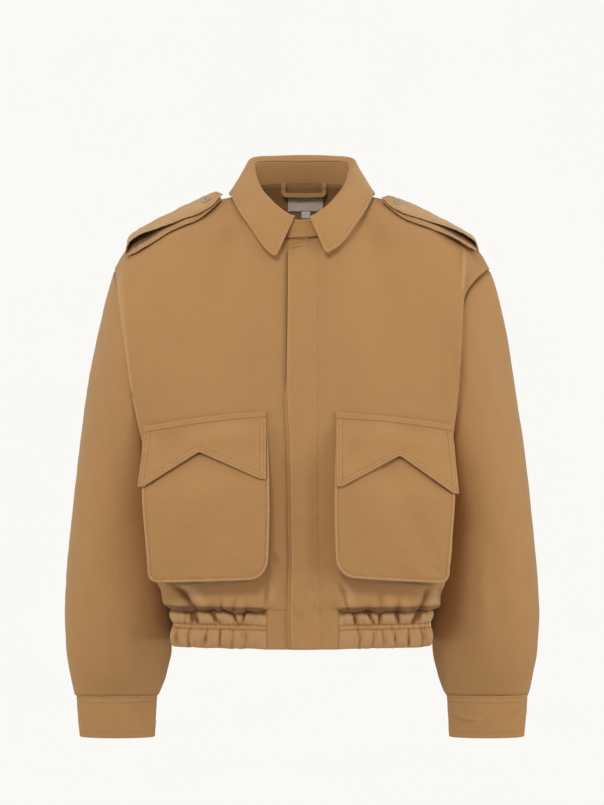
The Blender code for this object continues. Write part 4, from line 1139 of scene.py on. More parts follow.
@dataclass(frozen=True)
class BodyForm:
    """The outer surface of the jacket's front and back.

    A column runs from the centre line (0) over the chest's corner (FOLD) to the armhole (RING) and, below
    the armpit, on to the side seam (SIDE). A row is a height below the armpit, and 0 to 1 above it.
    """

    levels: tuple[Level, ...] = LEVELS
    side_y: float = 4

    def section(self, is_front: bool, side: Side, column: np.ndarray, z: np.ndarray) -> np.ndarray:
        """A level section below the armpit, for x on the positive side."""
        row = row_at(self.levels, z)
        corner_x = row.left_x if side is Side.LEFT else row.right_x
        corner_y, centre_y = row.corner_y, row.front_y
        if not is_front:
            corner_x, corner_y, centre_y = row.back_x, row.back_corner_y, row.back_y
        t = np.clip(column / FOLD, 0, 1)
        x = bezier(0, 0.7 * corner_x, corner_x, corner_x, t)
        y = bezier(centre_y, centre_y, corner_y + 0.55 * (centre_y - corner_y), corner_y, t)
        s = np.clip((column - FOLD) / (SIDE - FOLD), 0, 1)
        reach = self.side_y - corner_y
        side_x = bezier(corner_x, corner_x, row.side_x, row.side_x, s)
        side_y = bezier(corner_y, corner_y + 0.2 * reach, self.side_y - 0.7 * reach, self.side_y, s)
        beyond = column > FOLD
        return points(np.where(beyond, side_x, x), np.where(beyond, side_y, y), z)

    def armhole(self, side: Side, step: np.ndarray) -> np.ndarray:
        """The armhole seam, by its step round from the side seam."""
        rows = [row.on(side) for row in ARMHOLE]
        steps = [row.at for row in ARMHOLE]
        rows = [rows[-2], *rows, rows[1]]
        steps = [steps[-2] - RING_STEPS, *steps, steps[1] + RING_STEPS]
        return smooth(steps, rows, step)

    def top_edge(self, is_front: bool, side: Side, column: np.ndarray) -> np.ndarray:
        """The neck seam as far as column NECK, and then the shoulder seam."""
        share = np.clip(column / NECK, 0, 1)
        last = len(NECKLINE) - 1
        station = HPS * share if is_front else last + (HPS - last) * share
        neck = smooth(np.arange(len(NECKLINE)), [row[:3] for row in NECKLINE], station)
        fold_x = CHEST_FOLD[-1].on(side)[0]
        x = np.interp(column, [NECK, FOLD, RING], [SHOULDER[0].x, fold_x, SHOULDER[-1].x])
        shoulder = smooth([row.x for row in SHOULDER], SHOULDER, x)
        return np.where((column < NECK)[..., None], neck, shoulder)

    def chest(self, is_front: bool, side: Side, column: np.ndarray, up: np.ndarray) -> np.ndarray:
        """A column above the armpit, `up` 0 at the armpit and 1 at the neck or shoulder."""
        foot = self.section(is_front, side, column, np.full_like(column, ARMPIT_Z))
        lower = self.section(is_front, side, column, np.full_like(column, ARMPIT_Z - STEP))
        head = self.top_edge(is_front, side, column)
        height = (head - foot)[..., 2:]
        forward = -1 if is_front else 1
        share = ease(column / NECK)[..., None]
        at_neck, at_shoulder = np.array([0, -0.30 * forward, 0.95]), np.array([0, -0.95 * forward, 0.30])
        arrive = at_neck * (1 - share) + at_shoulder * share
        reach = 0.33 * height * (1 - share) + 74 * share
        leave = (foot - lower) / STEP * 0.38 * height
        return bezier(foot, foot + leave, head - arrive * reach, head, up[..., None])

    def fold_line(self, is_front: bool, side: Side, up: np.ndarray) -> np.ndarray:
        """The line before or behind the armhole that the column FOLD follows."""
        ends = self.chest(is_front, side, np.full(2, float(FOLD)), np.array([0.0, 1.0]))
        if is_front:
            rows = [ends[0], *(row.on(side) for row in CHEST_FOLD[1:-1]), ends[1]]
            return smooth([row.at for row in CHEST_FOLD], rows, up)
        seam = self.armhole(side, RING_STEPS - 2 - RAMP * up)
        foot, tip = self.armhole(side, RING_STEPS - 2), self.armhole(side, RING_STEPS / 2)
        up = up[..., None]
        lean = np.array([-4.0, 9.0, 0.0]) * np.sin(pi * up)
        return seam + lean + (ends[0] - foot) * (1 - up) ** 2 + (ends[1] - tip) * up**2

    def lower(self, is_front: bool, side: Side, column: np.ndarray, z: np.ndarray) -> np.ndarray:
        """Below the armpit, where the top of the side is drawn up into the armhole."""
        place = self.section(is_front, side, column, z)
        steps = SIDE - np.clip(column, RING, SIDE)
        target = self.armhole(side, steps if is_front else RING_STEPS - steps)
        at_top = self.section(is_front, side, np.clip(column, RING, SIDE), np.full_like(column, ARMPIT_Z))
        share = np.clip((column - FOLD) / (RING - FOLD), 0, 1) * rise(z, ARMPIT_Z - 70, ARMPIT_Z)
        return place + (target - at_top) * share[..., None]

    def upper(self, is_front: bool, side: Side, column: np.ndarray, up: np.ndarray) -> np.ndarray:
        """Above the armpit: out to the fold line, and from it back to the armhole."""
        inner = np.minimum(column, FOLD)
        fold = self.fold_line(is_front, side, up)
        last = np.full_like(column, float(FOLD))
        gap = fold - self.chest(is_front, side, last, up)
        chest = self.chest(is_front, side, inner, up) + gap * ((inner / FOLD) ** 2)[..., None]
        near = self.chest(is_front, side, last - 0.4, up) + gap * ((FOLD - 0.4) / FOLD) ** 2
        along = unit(fold - near)
        seam = self.armhole(side, 2 + RAMP * up if is_front else RING_STEPS - 2 - RAMP * up)
        width = np.linalg.norm(seam - fold, axis=-1, keepdims=True)
        t = np.clip((column - FOLD) / (RING - FOLD), 0, 1)[..., None]
        strip = fold * (1 - t) ** 2 + 2 * (fold + along * 0.45 * width) * t * (1 - t) + seam * t**2
        strip = strip + (self.top_edge(is_front, side, column) - strip) * rise(up, 0.9, 1)[..., None]
        return np.where((column > FOLD)[..., None], strip, chest)

    def point(self, is_front: bool, side: Side, column: np.ndarray, row: np.ndarray) -> np.ndarray:
        """The outer surface at a column and a row."""
        column, row = np.broadcast_arrays(np.asarray(column, float), np.asarray(row, float))
        below = row <= 0
        low = self.lower(is_front, side, column, np.where(row < 0, row, ARMPIT_Z))
        high = self.upper(is_front, side, np.minimum(column, RING), np.where(below, 0.0, row))
        return np.where(below[..., None], low, high) * [side.value, 1, 1]


@dataclass(frozen=True)
class SleeveForm:
    """The outer surface of a sleeve and its cuff, by the step round from the body's side."""

    body: BodyForm

    def oval(self, table: Sequence[Oval], step: np.ndarray, z: np.ndarray) -> np.ndarray:
        """A level section, for x on the positive side."""
        row = row_at(table[::-1], z)
        turn = 2 * pi * step / RING_STEPS
        turn = turn + 0.16 * np.sin(2 * turn)
        x = row.centre_x - row.half_width * np.cos(turn)
        return points(x, row.centre_y - row.half_depth * np.sin(turn), z)

    def point(self, side: Side, step: np.ndarray, along: np.ndarray) -> np.ndarray:
        """The surface, `along` 0 at the armhole, 1 at the elbow, and a height below it."""
        step, along = np.broadcast_arrays(np.asarray(step, float), np.asarray(along, float))
        elbow = self.oval(SLEEVE, step, np.full_like(step, ELBOW_Z))
        fall = (self.oval(SLEEVE, step, np.full_like(step, ELBOW_Z - STEP)) - elbow) / STEP
        start = self.body.armhole(side, step) + [0.4, 0, 0]
        drop = (start - elbow)[..., 2:]
        turn = 2 * pi * step / RING_STEPS
        outward = (1 - np.cos(turn)) / 2
        leave = points(0.10 + 0.23 * outward, -0.10 * np.sin(turn), -0.98 + 0.05 * outward)
        share = np.clip(along, 0, 1)[..., None]
        reach = (0.34 - 0.09 * outward)[..., None] * drop
        upper = bezier(start, start + leave * reach, elbow - fall * 0.42 * drop, elbow, share)
        below = self.oval(SLEEVE, step, np.where(along >= 0, ELBOW_Z, along))
        return np.where((along >= 0)[..., None], upper, below) * [side.value, 1, 1]


class Ground:
    """A surface as made, which other pieces are measured from."""

    def __init__(self, *pieces: Cloth) -> None:
        """Keeps the pieces' faces for ray casts."""
        shift = np.cumsum([0] + [len(piece.places) for piece in pieces[:-1]])
        places = np.concatenate([piece.places for piece in pieces])
        faces = np.concatenate([piece.faces + n for piece, n in zip(pieces, shift)])
        self.tree = BVHTree.FromPolygons([Vector(p) for p in places], faces.tolist())

    def cast(self, starts: np.ndarray, way: Sequence[float]) -> Path:
        """Where rays meet the surface.

        Args:
            starts: the rays' starts.
            way: their direction.

        Returns:
            The points, and the surface's normals against the rays. A ray that meets nothing takes the
            place of the one before it.
        """
        direction = Vector(way)
        found, normals = [], []
        for start in starts.reshape(-1, 3):
            place, normal = self.tree.ray_cast(Vector(start), direction)[:2]
            if place is None:
                place, normal = (found[-1], normals[-1]) if found else (Vector(start), -direction)
            found.append(place)
            normals.append(-normal if normal.dot(direction) > 0 else normal)
        return np.array(found).reshape(starts.shape), np.array(normals).reshape(starts.shape)

    def front(self, x: Values, z: Values) -> Path:
        """The surface seen from the front at x and z."""
        return self.cast(points(x, -400, z), (0, 1, 0))

    def top(self, x: Values, y: Values) -> Path:
        """The surface seen from above at x and y."""
        return self.cast(points(x, y, 300), (0, 0, -1))

    def back_inside(self, x: Values, z: Values) -> np.ndarray:
        """How far back the inside of the back is, seen from inside the neck at x and z."""
        return self.cast(points(x, 0, z), (0, 1, 0))[0][..., 1]


# The body ---------------------------------------------------------------------------------------------


@dataclass
class Panels:
    """The two fronts and the back, which blouse over the gathered hem."""

    form: BodyForm
    finishes: Wardrobe
    front_spacing: float = 2.8
    back_spacing: float = 5.5
    knots: int = 601
    sample_z: float = -400
    gathered_height: float = 26
    beside_fly: float = 24
    seam_lift: float = 1.9
    hem_gather: float = 1.3
    hem_y: float = -121
    straight_x: float = 44
    straight_z: float = -515
    straight_y: float = -127
    lip: float = 6.0
    strap_lift: float = 1.6
    fold_shade: float = 0.42
    pressed_x: float = 216
    fly_edge: tuple[tuple[float, float], ...] = (
        (-560, -14.6),
        (-450, -14.6),
        (-340, -16.4),
        (-265, -19.6),
        (-180, -18.8),
        (-73, -18),
    )
    creases: tuple[Crease, ...] = (
        Crease(-178, -533, -133, -568, 4.6, 4.5, 3.0),
        Crease(-45, -531, -51, -563, 2.0, 3.4),
        Crease(-39, -486, -33, -510, 1.3, 4.0),
        Crease(-107, -546, -104, -572, 1.8, 3.0),
        Crease(-88, -545, -90, -572, 1.6, 3.2),
        Crease(173, -535, 153, -572, 3.4, 4.2, -1.5),
        Crease(187, -535, 180, -566, 2.4, 3.2),
        Crease(47, -526, 61, -563, 2.4, 3.4, 1.5),
        Crease(105, -540, 104, -564, 1.6, 5.0),
        Crease(128, -546, 132, -572, 1.5, 3.4),
    )
    back_creases: tuple[Crease, ...] = (
        Crease(-150, -528, -128, -568, 3.0, 5.0, 2.0),
        Crease(-62, -536, -70, -570, 2.2, 4.2),
        Crease(8, -540, 2, -570, 1.8, 4.6),
        Crease(74, -530, 88, -569, 2.6, 4.4, -1.0),
        Crease(158, -530, 139, -570, 3.0, 4.8, -2.0),
    )
    nets: dict[str, Net] = field(default_factory=dict)

    def columns(self, is_front: bool, side: Side, spacing: float) -> tuple[np.ndarray, int]:
        """A panel's columns, and which of them runs up to the armhole."""
        knots = np.linspace(0, SIDE, self.knots)
        along = travelled(self.form.section(is_front, side, knots, np.full(self.knots, self.sample_z)))
        ring = int(np.searchsorted(knots, RING))
        fine = self.beside_fly if is_front and side is Side.RIGHT else 0
        inner = stations(along[ring], spacing, fine, 8, 1.0)
        inner = np.interp(inner, along[: ring + 1], knots[: ring + 1])
        outer = evenly(spacing, along[ring:] - along[ring], knots[ring:])
        return np.concatenate([inner, outer[1:]]), len(inner) - 1

    def rows(self, spacing: float) -> tuple[np.ndarray, int]:
        """A panel's rows, and which of them is level with the armpit."""
        low = BODY_HEM_Z + stations(ARMPIT_Z - BODY_HEM_Z, spacing, self.gathered_height, 0, 0.9)
        ups = np.linspace(0, 1, 400)
        line = self.form.upper(True, Side.LEFT, np.full(400, FOLD / 2), ups)
        return np.concatenate([low[:-1], evenly(spacing, travelled(line), ups)]), len(low) - 1

    def relief(self, net: Net, ring: np.ndarray, creases: Sequence[Crease], seed: int) -> np.ndarray:
        """The panel's folds, the ridge along its armhole and its gathers into the hem band.

        Args:
            net: the panel.
            ring: each point's distance from the armhole's edge, in millimetres.
            creases: its largest folds.
            seed: which small unevenness.

        Returns:
            A height for each point.
        """
        x, _, z = net.places.T
        total = crease_relief(x, z, creases)
        total += 0.55 * uneven(x, z * 0.6, 95, seed) + 0.16 * uneven(x, z, 28, seed + 1)
        ridge = self.seam_lift * bump(ring - 1.0, 2.6) - 0.45 * bump(ring - 6.4, 1.3)
        total += np.where(z > ARMPIT_Z - 2, ridge, 0) * (1 - 0.85 * rise(z, -122, -104))
        low = rise(z, -545, BODY_HEM_Z) * rise(np.abs(x), self.straight_x + 2, self.straight_x + 14)
        return total + self.hem_gather * low * uneven(x, z * 0.25, 17, seed + 2)

    def blouse(self, net: Net, is_front: bool, seed: int) -> None:
        """Lets the cloth hang over the band in an uneven lip, and hang straight at the middle of the front.

        Args:
            net: the panel.
            is_front: whether it is one of the fronts.
            seed: which unevenness.
        """
        x, _, z = net.places.T
        loose = rise(np.abs(x), self.straight_x, self.straight_x + 10) if is_front else np.ones_like(x)
        out = rise(z, -541, -556) * (1 - rise(z, -561.5, -566))
        fall = rise(z, -542, -558) * (1 - rise(z, -562.7, -565.9))
        droop = self.lip + 2.0 * uneven(x, 0 * x, 34, seed) + 1.2 * uneven(x, 0 * x, 13, seed + 1)
        out = out * (self.lip + 0.8 * uneven(x, z * 0.5, 24, seed + 2))
        net.places += unit(net.normals() * [1, 1, 0], 0.1) * (loose * out)[:, None]
        net.places[:, 2] -= loose * fall * droop
        # painted shade on the lip's turned-under underside
        net.relief -= loose * 2.0 * rise(z, -561, -564)
        if is_front:
            net.places[:, 1] -= self.straight(x, z)

    def straight(self, x: np.ndarray, z: np.ndarray) -> np.ndarray:
        """How much further forward the middle of the front hangs than the gathered hem."""
        hanging = np.interp(z, [HEM_Z, self.straight_z], [self.hem_y, self.straight_y])
        behind = row_at(self.form.levels, np.maximum(z, BODY_HEM_Z)).front_y - hanging
        middle = 1 - rise(np.abs(x), self.straight_x, self.straight_x + 28)
        return np.clip(behind, 0, None) * (z < self.straight_z + 1) * middle

    def under_strap(self, net: Net, side: Side, ring: np.ndarray) -> None:
        """Draws the front up to the straight slope that the shoulder straps lie on.

        Args:
            net: the front.
            side: which front.
            ring: each point's distance from the armhole's edge.
        """
        x, y, z = np.abs(net.places[:, 0]), net.places[:, 1], net.places[:, 2]
        slope = strap_slope(side, x) * np.clip(SHOULDER[0].y - 3 - y, 0, None)
        gap = np.clip(shoulder_z(x) + self.strap_lift - slope - z, -9, 14)
        share = rise(x, 74, 130) * (1 - rise(y, -44, -86)) * (1 - rise(x, 236, 250)) * rise(y, -2, -18)
        net.places[:, 2] += gap * (share * rise(ring, 3, 17))

    def eased(self, net: Net, columns: np.ndarray, rows: np.ndarray) -> None:
        """Smooths the chest below the neck point, where the neck seam turns into the shoulder seam."""
        grid = net.grid()
        count = grid.shape[1]
        total, weight = np.zeros_like(grid), 0.0
        for shift in range(-16, 17):
            index = np.abs(np.arange(count) + shift)
            index = np.where(index >= count, 2 * count - 2 - index, index)
            total += grid[:, index] * bump(shift, 9)
            weight += bump(shift, 9)
        across = rise(np.abs(columns), 0.7, 1.6) * (1 - rise(np.abs(columns), 5.2, 6.8))
        down = rise(rows, 0.985, 0.765) * (rows > 0) * ease(rows / 0.15)
        blend = (down[:, None] * across[None, :])[..., None]
        net.places = (grid * (1 - blend) + total / weight * blend).reshape(-1, 3)

    def front(self, side: Side) -> Net:
        """Half of the front."""
        columns, ring = self.columns(True, side, self.front_spacing)
        rows, armpit = self.rows(self.front_spacing)
        net = Net(self.form.point(True, side, columns[None, :], rows[:, None]))
        from_ring = np.abs(net.across[:, ring, None] - net.across).ravel()
        net.trimmed(lambda row, column: (column < ring) | (row < armpit))
        net.facing(from_axis(0, 0))
        self.eased(net, columns, rows)
        self.under_strap(net, side, from_ring)
        net.raised(self.relief(net, from_ring, self.creases, 11 + side.value), 0.1)
        # painted shade in the creases' troughs and painted highlight on their rolls
        net.relief += self.fold_shade * crease_relief(net.places[:, 0], net.places[:, 2], self.creases)
        self.paint_fold_highlight(net, columns, ring)
        self.blouse(net, True, 17 + side.value)
        self.pressed(net, side)
        return net

    def paint_fold_highlight(self, net: Net, columns: np.ndarray, ring: int) -> None:
        """Paints a pale highlight on the chest where it turns towards the arm, between the armpit and the
        strap.
        """
        z = net.places[:, 2]
        x = np.abs(net.grid()[:, :, 0])
        inwards = (x[:, : ring + 1].max(axis=1, keepdims=True) - x).ravel()
        on_chest = np.broadcast_to(1 - rise(columns, FOLD, FOLD + 0.25), x.shape).ravel()
        share = on_chest * rise(z, ARMPIT_Z, ARMPIT_Z + 40) * (1 - rise(z, -116, -104))
        net.relief += 1.2 * bump(inwards - 0.4, 1.5) * share

    def pressed(self, net: Net, side: Side) -> None:
        """Presses a line from the strap to the armhole in one front, and paints the fly's shadow on the other
        beside the fly.
        """
        x, _, z = net.places.T
        if side is Side.LEFT:
            apart = x - self.pressed_x - (z + 137) * 0.1
            share = rise(z, -142, -134) * (1 - rise(z, -84, -76))
            net.raised(share * (1.1 * bump(apart, 1.8) - 0.5 * bump(apart + 3.6, 1.8)))
        else:
            share = rise(z, -82, -94) * rise(z, -560, -500)
            apart = x - np.interp(z, *zip(*self.fly_edge))
            # painted shadow of the fly's free edge
            net.relief -= share * (0.7 * bump(apart + 1.5, 4.5) + 1.5 * bump(apart + 0.4, 1.5))

    def back(self) -> Net:
        """The back."""
        columns, ring = self.columns(False, Side.LEFT, self.back_spacing)
        rows, armpit = self.rows(self.back_spacing)
        left = self.form.point(False, Side.LEFT, columns[None, :], rows[:, None])
        net = Net(np.concatenate([left[:, :0:-1] * [-1, 1, 1], left], axis=1))
        middle = len(columns) - 1
        rings = net.across[:, [middle - ring, middle + ring]]
        from_ring = np.abs(net.across[..., None] - rings[:, None]).min(axis=-1).ravel()
        net.trimmed(lambda row, column: (np.abs(column + 0.5 - middle) < ring) | (row < armpit))
        net.facing(from_axis(0, 0))
        self.eased(net, np.concatenate([-columns[:0:-1], columns]), rows)
        net.raised(self.relief(net, from_ring, self.back_creases, 31), 0.1)
        self.blouse(net, False, 37)
        # strong painted shade on the inside of the back, seen through the neck
        net.inner_shade = 1.1
        return net

    def build(self) -> None:
        """Makes the three panels."""
        self.nets = {f"front_{side.word}": self.front(side) for side in Side}
        self.nets["back"] = self.back()
        for name, net in self.nets.items():
            self.finishes.wear(net, f"{name}_panel", name, PANEL, ["collar_stand"])


@dataclass
class Sleeves:
    """The drop-shoulder sleeves and their straight cuffs."""

    form: SleeveForm
    finishes: Wardrobe
    spacing: float = 4.5
    cuff_spacing: tuple[float, float] = (2.0, 1.8)
    centre: tuple[float, float] = (250, 20)
    cuff_centre: tuple[float, float] = (254, 14)
    cuff_rows: tuple[float, float] = (2.8, 9.7)
    cuff_hem: float = 6.9
    armhole_shade: float = 2.4
    creases: dict[Side, tuple[Crease, ...]] = field(
        default_factory=lambda: {
            Side.LEFT: (
                Crease(258, -100, 290, -240, 2.0, 9.0, -4.0),
                Crease(289, -235, 300, -410, 1.3, 9.0, 2.0),
                Crease(302, -405, 315, -560, 1.6, 8.0),
                Crease(314, -550, 312, -690, 1.0, 6.0),
                Crease(243, -470, 247, -640, 1.9, 10.0, 2.0),
            ),
            Side.RIGHT: (
                Crease(-296, -395, -292, -560, 1.1, 12.0, 2.0),
                Crease(-272, -140, -252, -275, 1.5, 6.0),
                Crease(-268, -600, -262, -692, 0.9, 6.0, 1.0),
            ),
        }
    )
    cuff_crease: Crease = Crease(206, -722, 245, -731, 0.9, 2.4, -2.5)
    nets: dict[Side, Net] = field(default_factory=dict)

    def net(self, side: Side) -> Net:
        """A sleeve's net, armhole first."""
        steps = np.linspace(0, RING_STEPS, 401)
        round_elbow = travelled(self.form.point(side, steps, np.full(401, float(ELBOW_Z))))
        steps = evenly(self.spacing, round_elbow, steps)[:-1]
        shares = np.linspace(0, 1, 200)
        length = travelled(self.form.point(side, np.full(200, RING_STEPS / 2), shares))
        along = np.interp(stations(length[-1], self.spacing, 8, 0, 1.1), length, shares)
        below = np.linspace(ELBOW_Z, CUFF_SEAM_Z, int((ELBOW_Z - CUFF_SEAM_Z) / self.spacing) + 1)
        rows = np.concatenate([along, below[1:]])
        net = Net(self.form.point(side, steps[None, :], rows[:, None]), closed=True)
        x, y = self.centre
        return net.facing(from_axis(side.value * x, y))

    def relief(self, net: Net, side: Side) -> np.ndarray:
        """The sleeve's pressed ridges and slack, flat where it is sewn on and where the cuff is."""
        x, y, z = net.places.T
        total = -crease_relief(x, z, self.creases[side]) * rise(y, 30, 0)
        seed = 50 + side.value
        total += 1.1 * uneven(x + 0.5 * y, z * 0.45, 90, seed)
        total += 0.25 * uneven(x + 0.7 * y, z, 30, seed + 1)
        down = net.down[:, :-1].ravel()
        total *= rise(down, -1, 8)
        total -= 1.6 * bump(down - 1.6, 2.6)
        gather = uneven(x * 1.3 + y * 0.6, z * 0.2, 15, seed + 2)
        return total + 0.55 * gather * bump(CUFF_SEAM_Z + 5 - z, 9)

    def cuff_net(self, side: Side) -> Net:
        """A cuff's net, its seam first."""
        top_z = CUFF[0].z
        steps = np.linspace(0, RING_STEPS, 301)
        round_seam = travelled(self.form.oval(CUFF, steps, np.full(301, top_z)))
        steps = evenly(self.cuff_spacing[0], round_seam, steps)[:-1]
        heights = top_z - stations(top_z - CUFF_END_Z, self.cuff_spacing[1], 12, 9)
        steps, heights = np.meshgrid(steps, heights)
        x, y = self.cuff_centre
        net = Net(self.form.oval(CUFF, steps, heights) * [side.value, 1, 1], closed=True)
        return net.facing(from_axis(side.value * x, y))

    def cuff_relief(self, net: Net, side: Side) -> np.ndarray:
        """The cuff's stitched edges and the soft slanting wrinkles between them."""
        x, y, z = net.places.T
        down, depth = CUFF[0].z - z, CUFF[0].z - CUFF_END_Z
        along = net.across[:, :-1].ravel()
        total = 0.45 * bump(down - 0.5, 1.6) + sewn_relief(down, along, self.cuff_rows, 71 + side.value)
        total -= 0.22 * bump(down - (depth - self.cuff_hem), 0.9)
        total += self.cuff_crease.relief(x, z) * (y < self.cuff_centre[1])
        slack = rise(down, 9, 17) * rise(down, depth, depth - 12)
        slant = uneven(along * 0.8 + down * 0.9, down * 0.5 - along * 0.2, 21, 73 + side.value)
        return total + slack * (0.24 * slant + 0.12 * uneven(along, down, 9, 75))

    def build(self) -> None:
        """Makes the sleeves, the cuffs and the cuffs' stitching."""
        sewing = Sewing("cuff_stitches", self.finishes.thread)
        for side in Side:
            sleeve, cuff, word = self.net(side), self.cuff_net(side), side.word
            sleeve.raised(self.relief(sleeve, side), 0)
            # painted shade on the sleeve beside the armhole seam, under the front's overlapping edge
            sleeve.relief -= self.armhole_shade * rise(sleeve.down[:, :-1].ravel(), 10.5, 1.5)
            self.nets[side] = sleeve
            panel = [f"front_{word}_panel"]
            self.finishes.wear(sleeve, f"sleeve_{word}_panel", f"sleeve_{word}", PANEL, panel)
            cuff.raised(self.cuff_relief(cuff, side), 0.7)
            self.finishes.wear(cuff, f"cuff_{word}_band", f"cuff_{word}", DOUBLE, [f"sleeve_{word}_panel"])
            sewing.add(*(cuff.along_row(row) for row in self.cuff_rows))
            sewing.add(cuff.along_row(self.cuff_hem, from_last=True))
        sewing.make()


# The collar -------------------------------------------------------------------------------------------


@dataclass
class Collar:
    """The stand round the neck, and the pointed leaf that folds down over it."""

    finishes: Wardrobe
    overlap: float = 20
    underlap: float = 10
    underlap_top: float = 3.2
    over_lift: float = 3.2
    stand_rows: int = 22
    leaf_start: float = 0.95
    roll_out: float = 3.2
    edge_stitch: float = 5.6
    stand_stitch: float = 4.2
    fold_clear: float = 24
    tip_radius: float = 5.0
    left_tip: tuple[float, float, float] = (-3.0, 0.0, 4.0)
    ends: float = 7.0

    def round_neck(self, station: np.ndarray, first: int) -> np.ndarray:
        """Three columns of the neckline table, station -7 to 7 from the wearer's right front."""
        rows = np.array([row[first : first + 3] for row in NECKLINE], float)
        last = len(NECKLINE) - 1
        place = smooth(range(last + 2), [*rows, rows[-2] * [-1, 1, 1]], last - np.abs(station))
        place[..., 0] *= np.sign(station) + (station == 0)
        return place

    def neck_stations(self, first: int, spacing: float, fine: float = 0) -> np.ndarray:
        """Stations spaced along three columns of the table, closer together for a length at each end."""
        knots = np.linspace(-self.ends, self.ends, 801)
        along = travelled(self.round_neck(knots, first))
        return np.interp(stations(along[-1], spacing, fine, fine, 1.0), along, knots)

    def stand(self) -> Net:
        """The stand, whose wearer's left end lies over the right one."""
        at = self.neck_stations(3, 2.0)
        foot = self.round_neck(at, 0) + [0, 0, SEAM + 0.1]
        top = self.round_neck(at, 3)
        top[:, 2] -= 2.2 * rise(np.abs(at), 5, 6.5)
        up = np.linspace(0, 1, self.stand_rows)[:, None]
        rows = foot * (1 - up[..., None]) + top * up[..., None]
        over = rise(at, 5.2, 6.0)
        rows[:, :, 1] -= over * (DOUBLE + 1.0)
        rows[:, :, 2] += over * self.over_lift * (1 - up)
        last, first = bump(at - self.ends, 0.16), bump(at + self.ends, 0.16)
        rows[:, :, 0] -= self.overlap * last
        rows[:, :, 0] += first * (self.underlap + (self.underlap_top - self.underlap) * up**0.5)
        return Net(rows).facing(from_axis(0, -10))

    def leaf(self) -> Net:
        """The leaf, from the stand's top over the roll to its edge."""
        at = self.neck_stations(9, 2.3, 8)
        stand = self.round_neck(at * self.leaf_start, 3)
        roll, edge = self.round_neck(at, 6), self.round_neck(at, 9)
        edge = edge + rise(at, 5, 6.8)[:, None] * self.left_tip
        fall = edge - roll
        front = rise(np.abs(at), 5.4, 6.8)[:, None]
        out = unit(fall * [1, 1, 0]) * (1 - front) + [0, -1, 0] * front
        up = np.array([0, 0, 1.0])
        lean = out * (2.8 - 1.2 * front) - up
        inner, start = roll - out * 1.2, stand - out * (DOUBLE + 0.3)
        level = np.linalg.norm((inner - start) * [1, 1, 0], axis=1) / np.linalg.norm(inner - start, axis=1)
        rows = np.array([
            start + up * (0.6 + DOUBLE * level)[:, None],
            inner,
            roll + out * self.roll_out - up * 0.6,
            roll + fall * 0.30 + lean,
            roll + fall * 0.64 + lean * 0.8,
            edge,
        ])
        steps = np.linalg.norm(np.diff(rows, axis=0), axis=2).mean(1)
        down = np.concatenate([[0], np.cumsum(steps)])
        fine = np.linspace(0, down[-1], 241)
        depths = np.unique(np.round(down[-1] - stations(down[-1], 1.7, 9), 3))
        net = Net(between(fine, softened(between(down, rows, fine), 14), depths))
        return self.rounded(net).facing(from_axis(0, -10))

    def rounded(self, net: Net) -> Net:
        """The leaf with the corners of its two tips rounded off."""
        count, number = np.arange(net.shape[1]), np.arange(net.shape[0])
        last = count > count[-1] / 2
        from_front = np.where(last, net.across[:, -1:] - net.across, net.across)
        from_front, from_edge = round_corner(from_front, net.down[-1] - net.down, self.tip_radius)
        across = np.where(last, net.across[:, -1:] - from_front, from_front)
        down = net.down[-1] - from_edge
        columns = np.array([np.interp(want, row, count) for want, row in zip(across, net.across)])
        rows = np.array([np.interp(want, row, number) for want, row in zip(down.T, net.down.T)]).T
        return Net(net.line(rows.ravel(), columns.ravel())[0].reshape(*net.shape, 3))

    def leaf_relief(self, net: Net) -> np.ndarray:
        """The leaf's turned and stitched edge, all round its free sides."""
        across, down = net.across.ravel(), net.down.ravel()
        from_edge = (net.down[-1] - net.down).ravel()
        from_front = np.minimum(net.across, net.across[:, -1:] - net.across).ravel()
        along = np.where(from_edge < from_front, across, down)
        near = np.minimum(from_edge, from_front)
        total = 0.4 * bump(near - 2.6, 2.2) - 0.26 * bump(near - self.edge_stitch, 0.9)
        pucker = uneven(along + 0.4 * near, near * 0.4, 8, 81) + 0.6 * uneven(along, near, 19, 82)
        total += 0.15 * pucker * bump(near - 5, 5)
        return total * rise(down, 18, 26) + 0.35 * uneven(across, down, 44, 83)

    def build(self) -> None:
        """Makes the stand, the leaf and their stitching."""
        sewing = Sewing("collar_stitches", self.finishes.thread)
        stand, leaf = self.stand(), self.leaf()
        down = stand.down.ravel()
        height = stand.down[-1:].repeat(stand.shape[0], 0).ravel()
        dent = bump(height - down - self.stand_stitch, 0.8)
        stand.raised(0.25 * bump(down - 1.5, 1.5) - 0.3 * dent)
        # little painted shade on the stand's inner side
        stand.inner_shade = 0.1
        self.finishes.wear(stand, "collar_stand_band", "collar_stand", DOUBLE)
        sewing.add(stand.along_row(self.stand_stitch, 4, 4, from_last=True))
        leaf.raised(self.leaf_relief(leaf), 0.5)
        self.finishes.wear(
            leaf, "collar_leaf_fold", "collar_leaf", DOUBLE, ["collar_stand_band"], Held.FOLDED
        )
        stitch = self.edge_stitch
        sewing.add(leaf.along_row(stitch, stitch, stitch, from_last=True))
        sewing.add(*(leaf.along_column(stitch, self.fold_clear, stitch, last) for last in (False, True)))
        sewing.make()


# The front fastening ----------------------------------------------------------------------------------


class EdgePoint(NamedTuple):
    """How far out a fly's edge and its stitching stand at a height."""

    z: float
    edge_x: float
    stitch_x: float


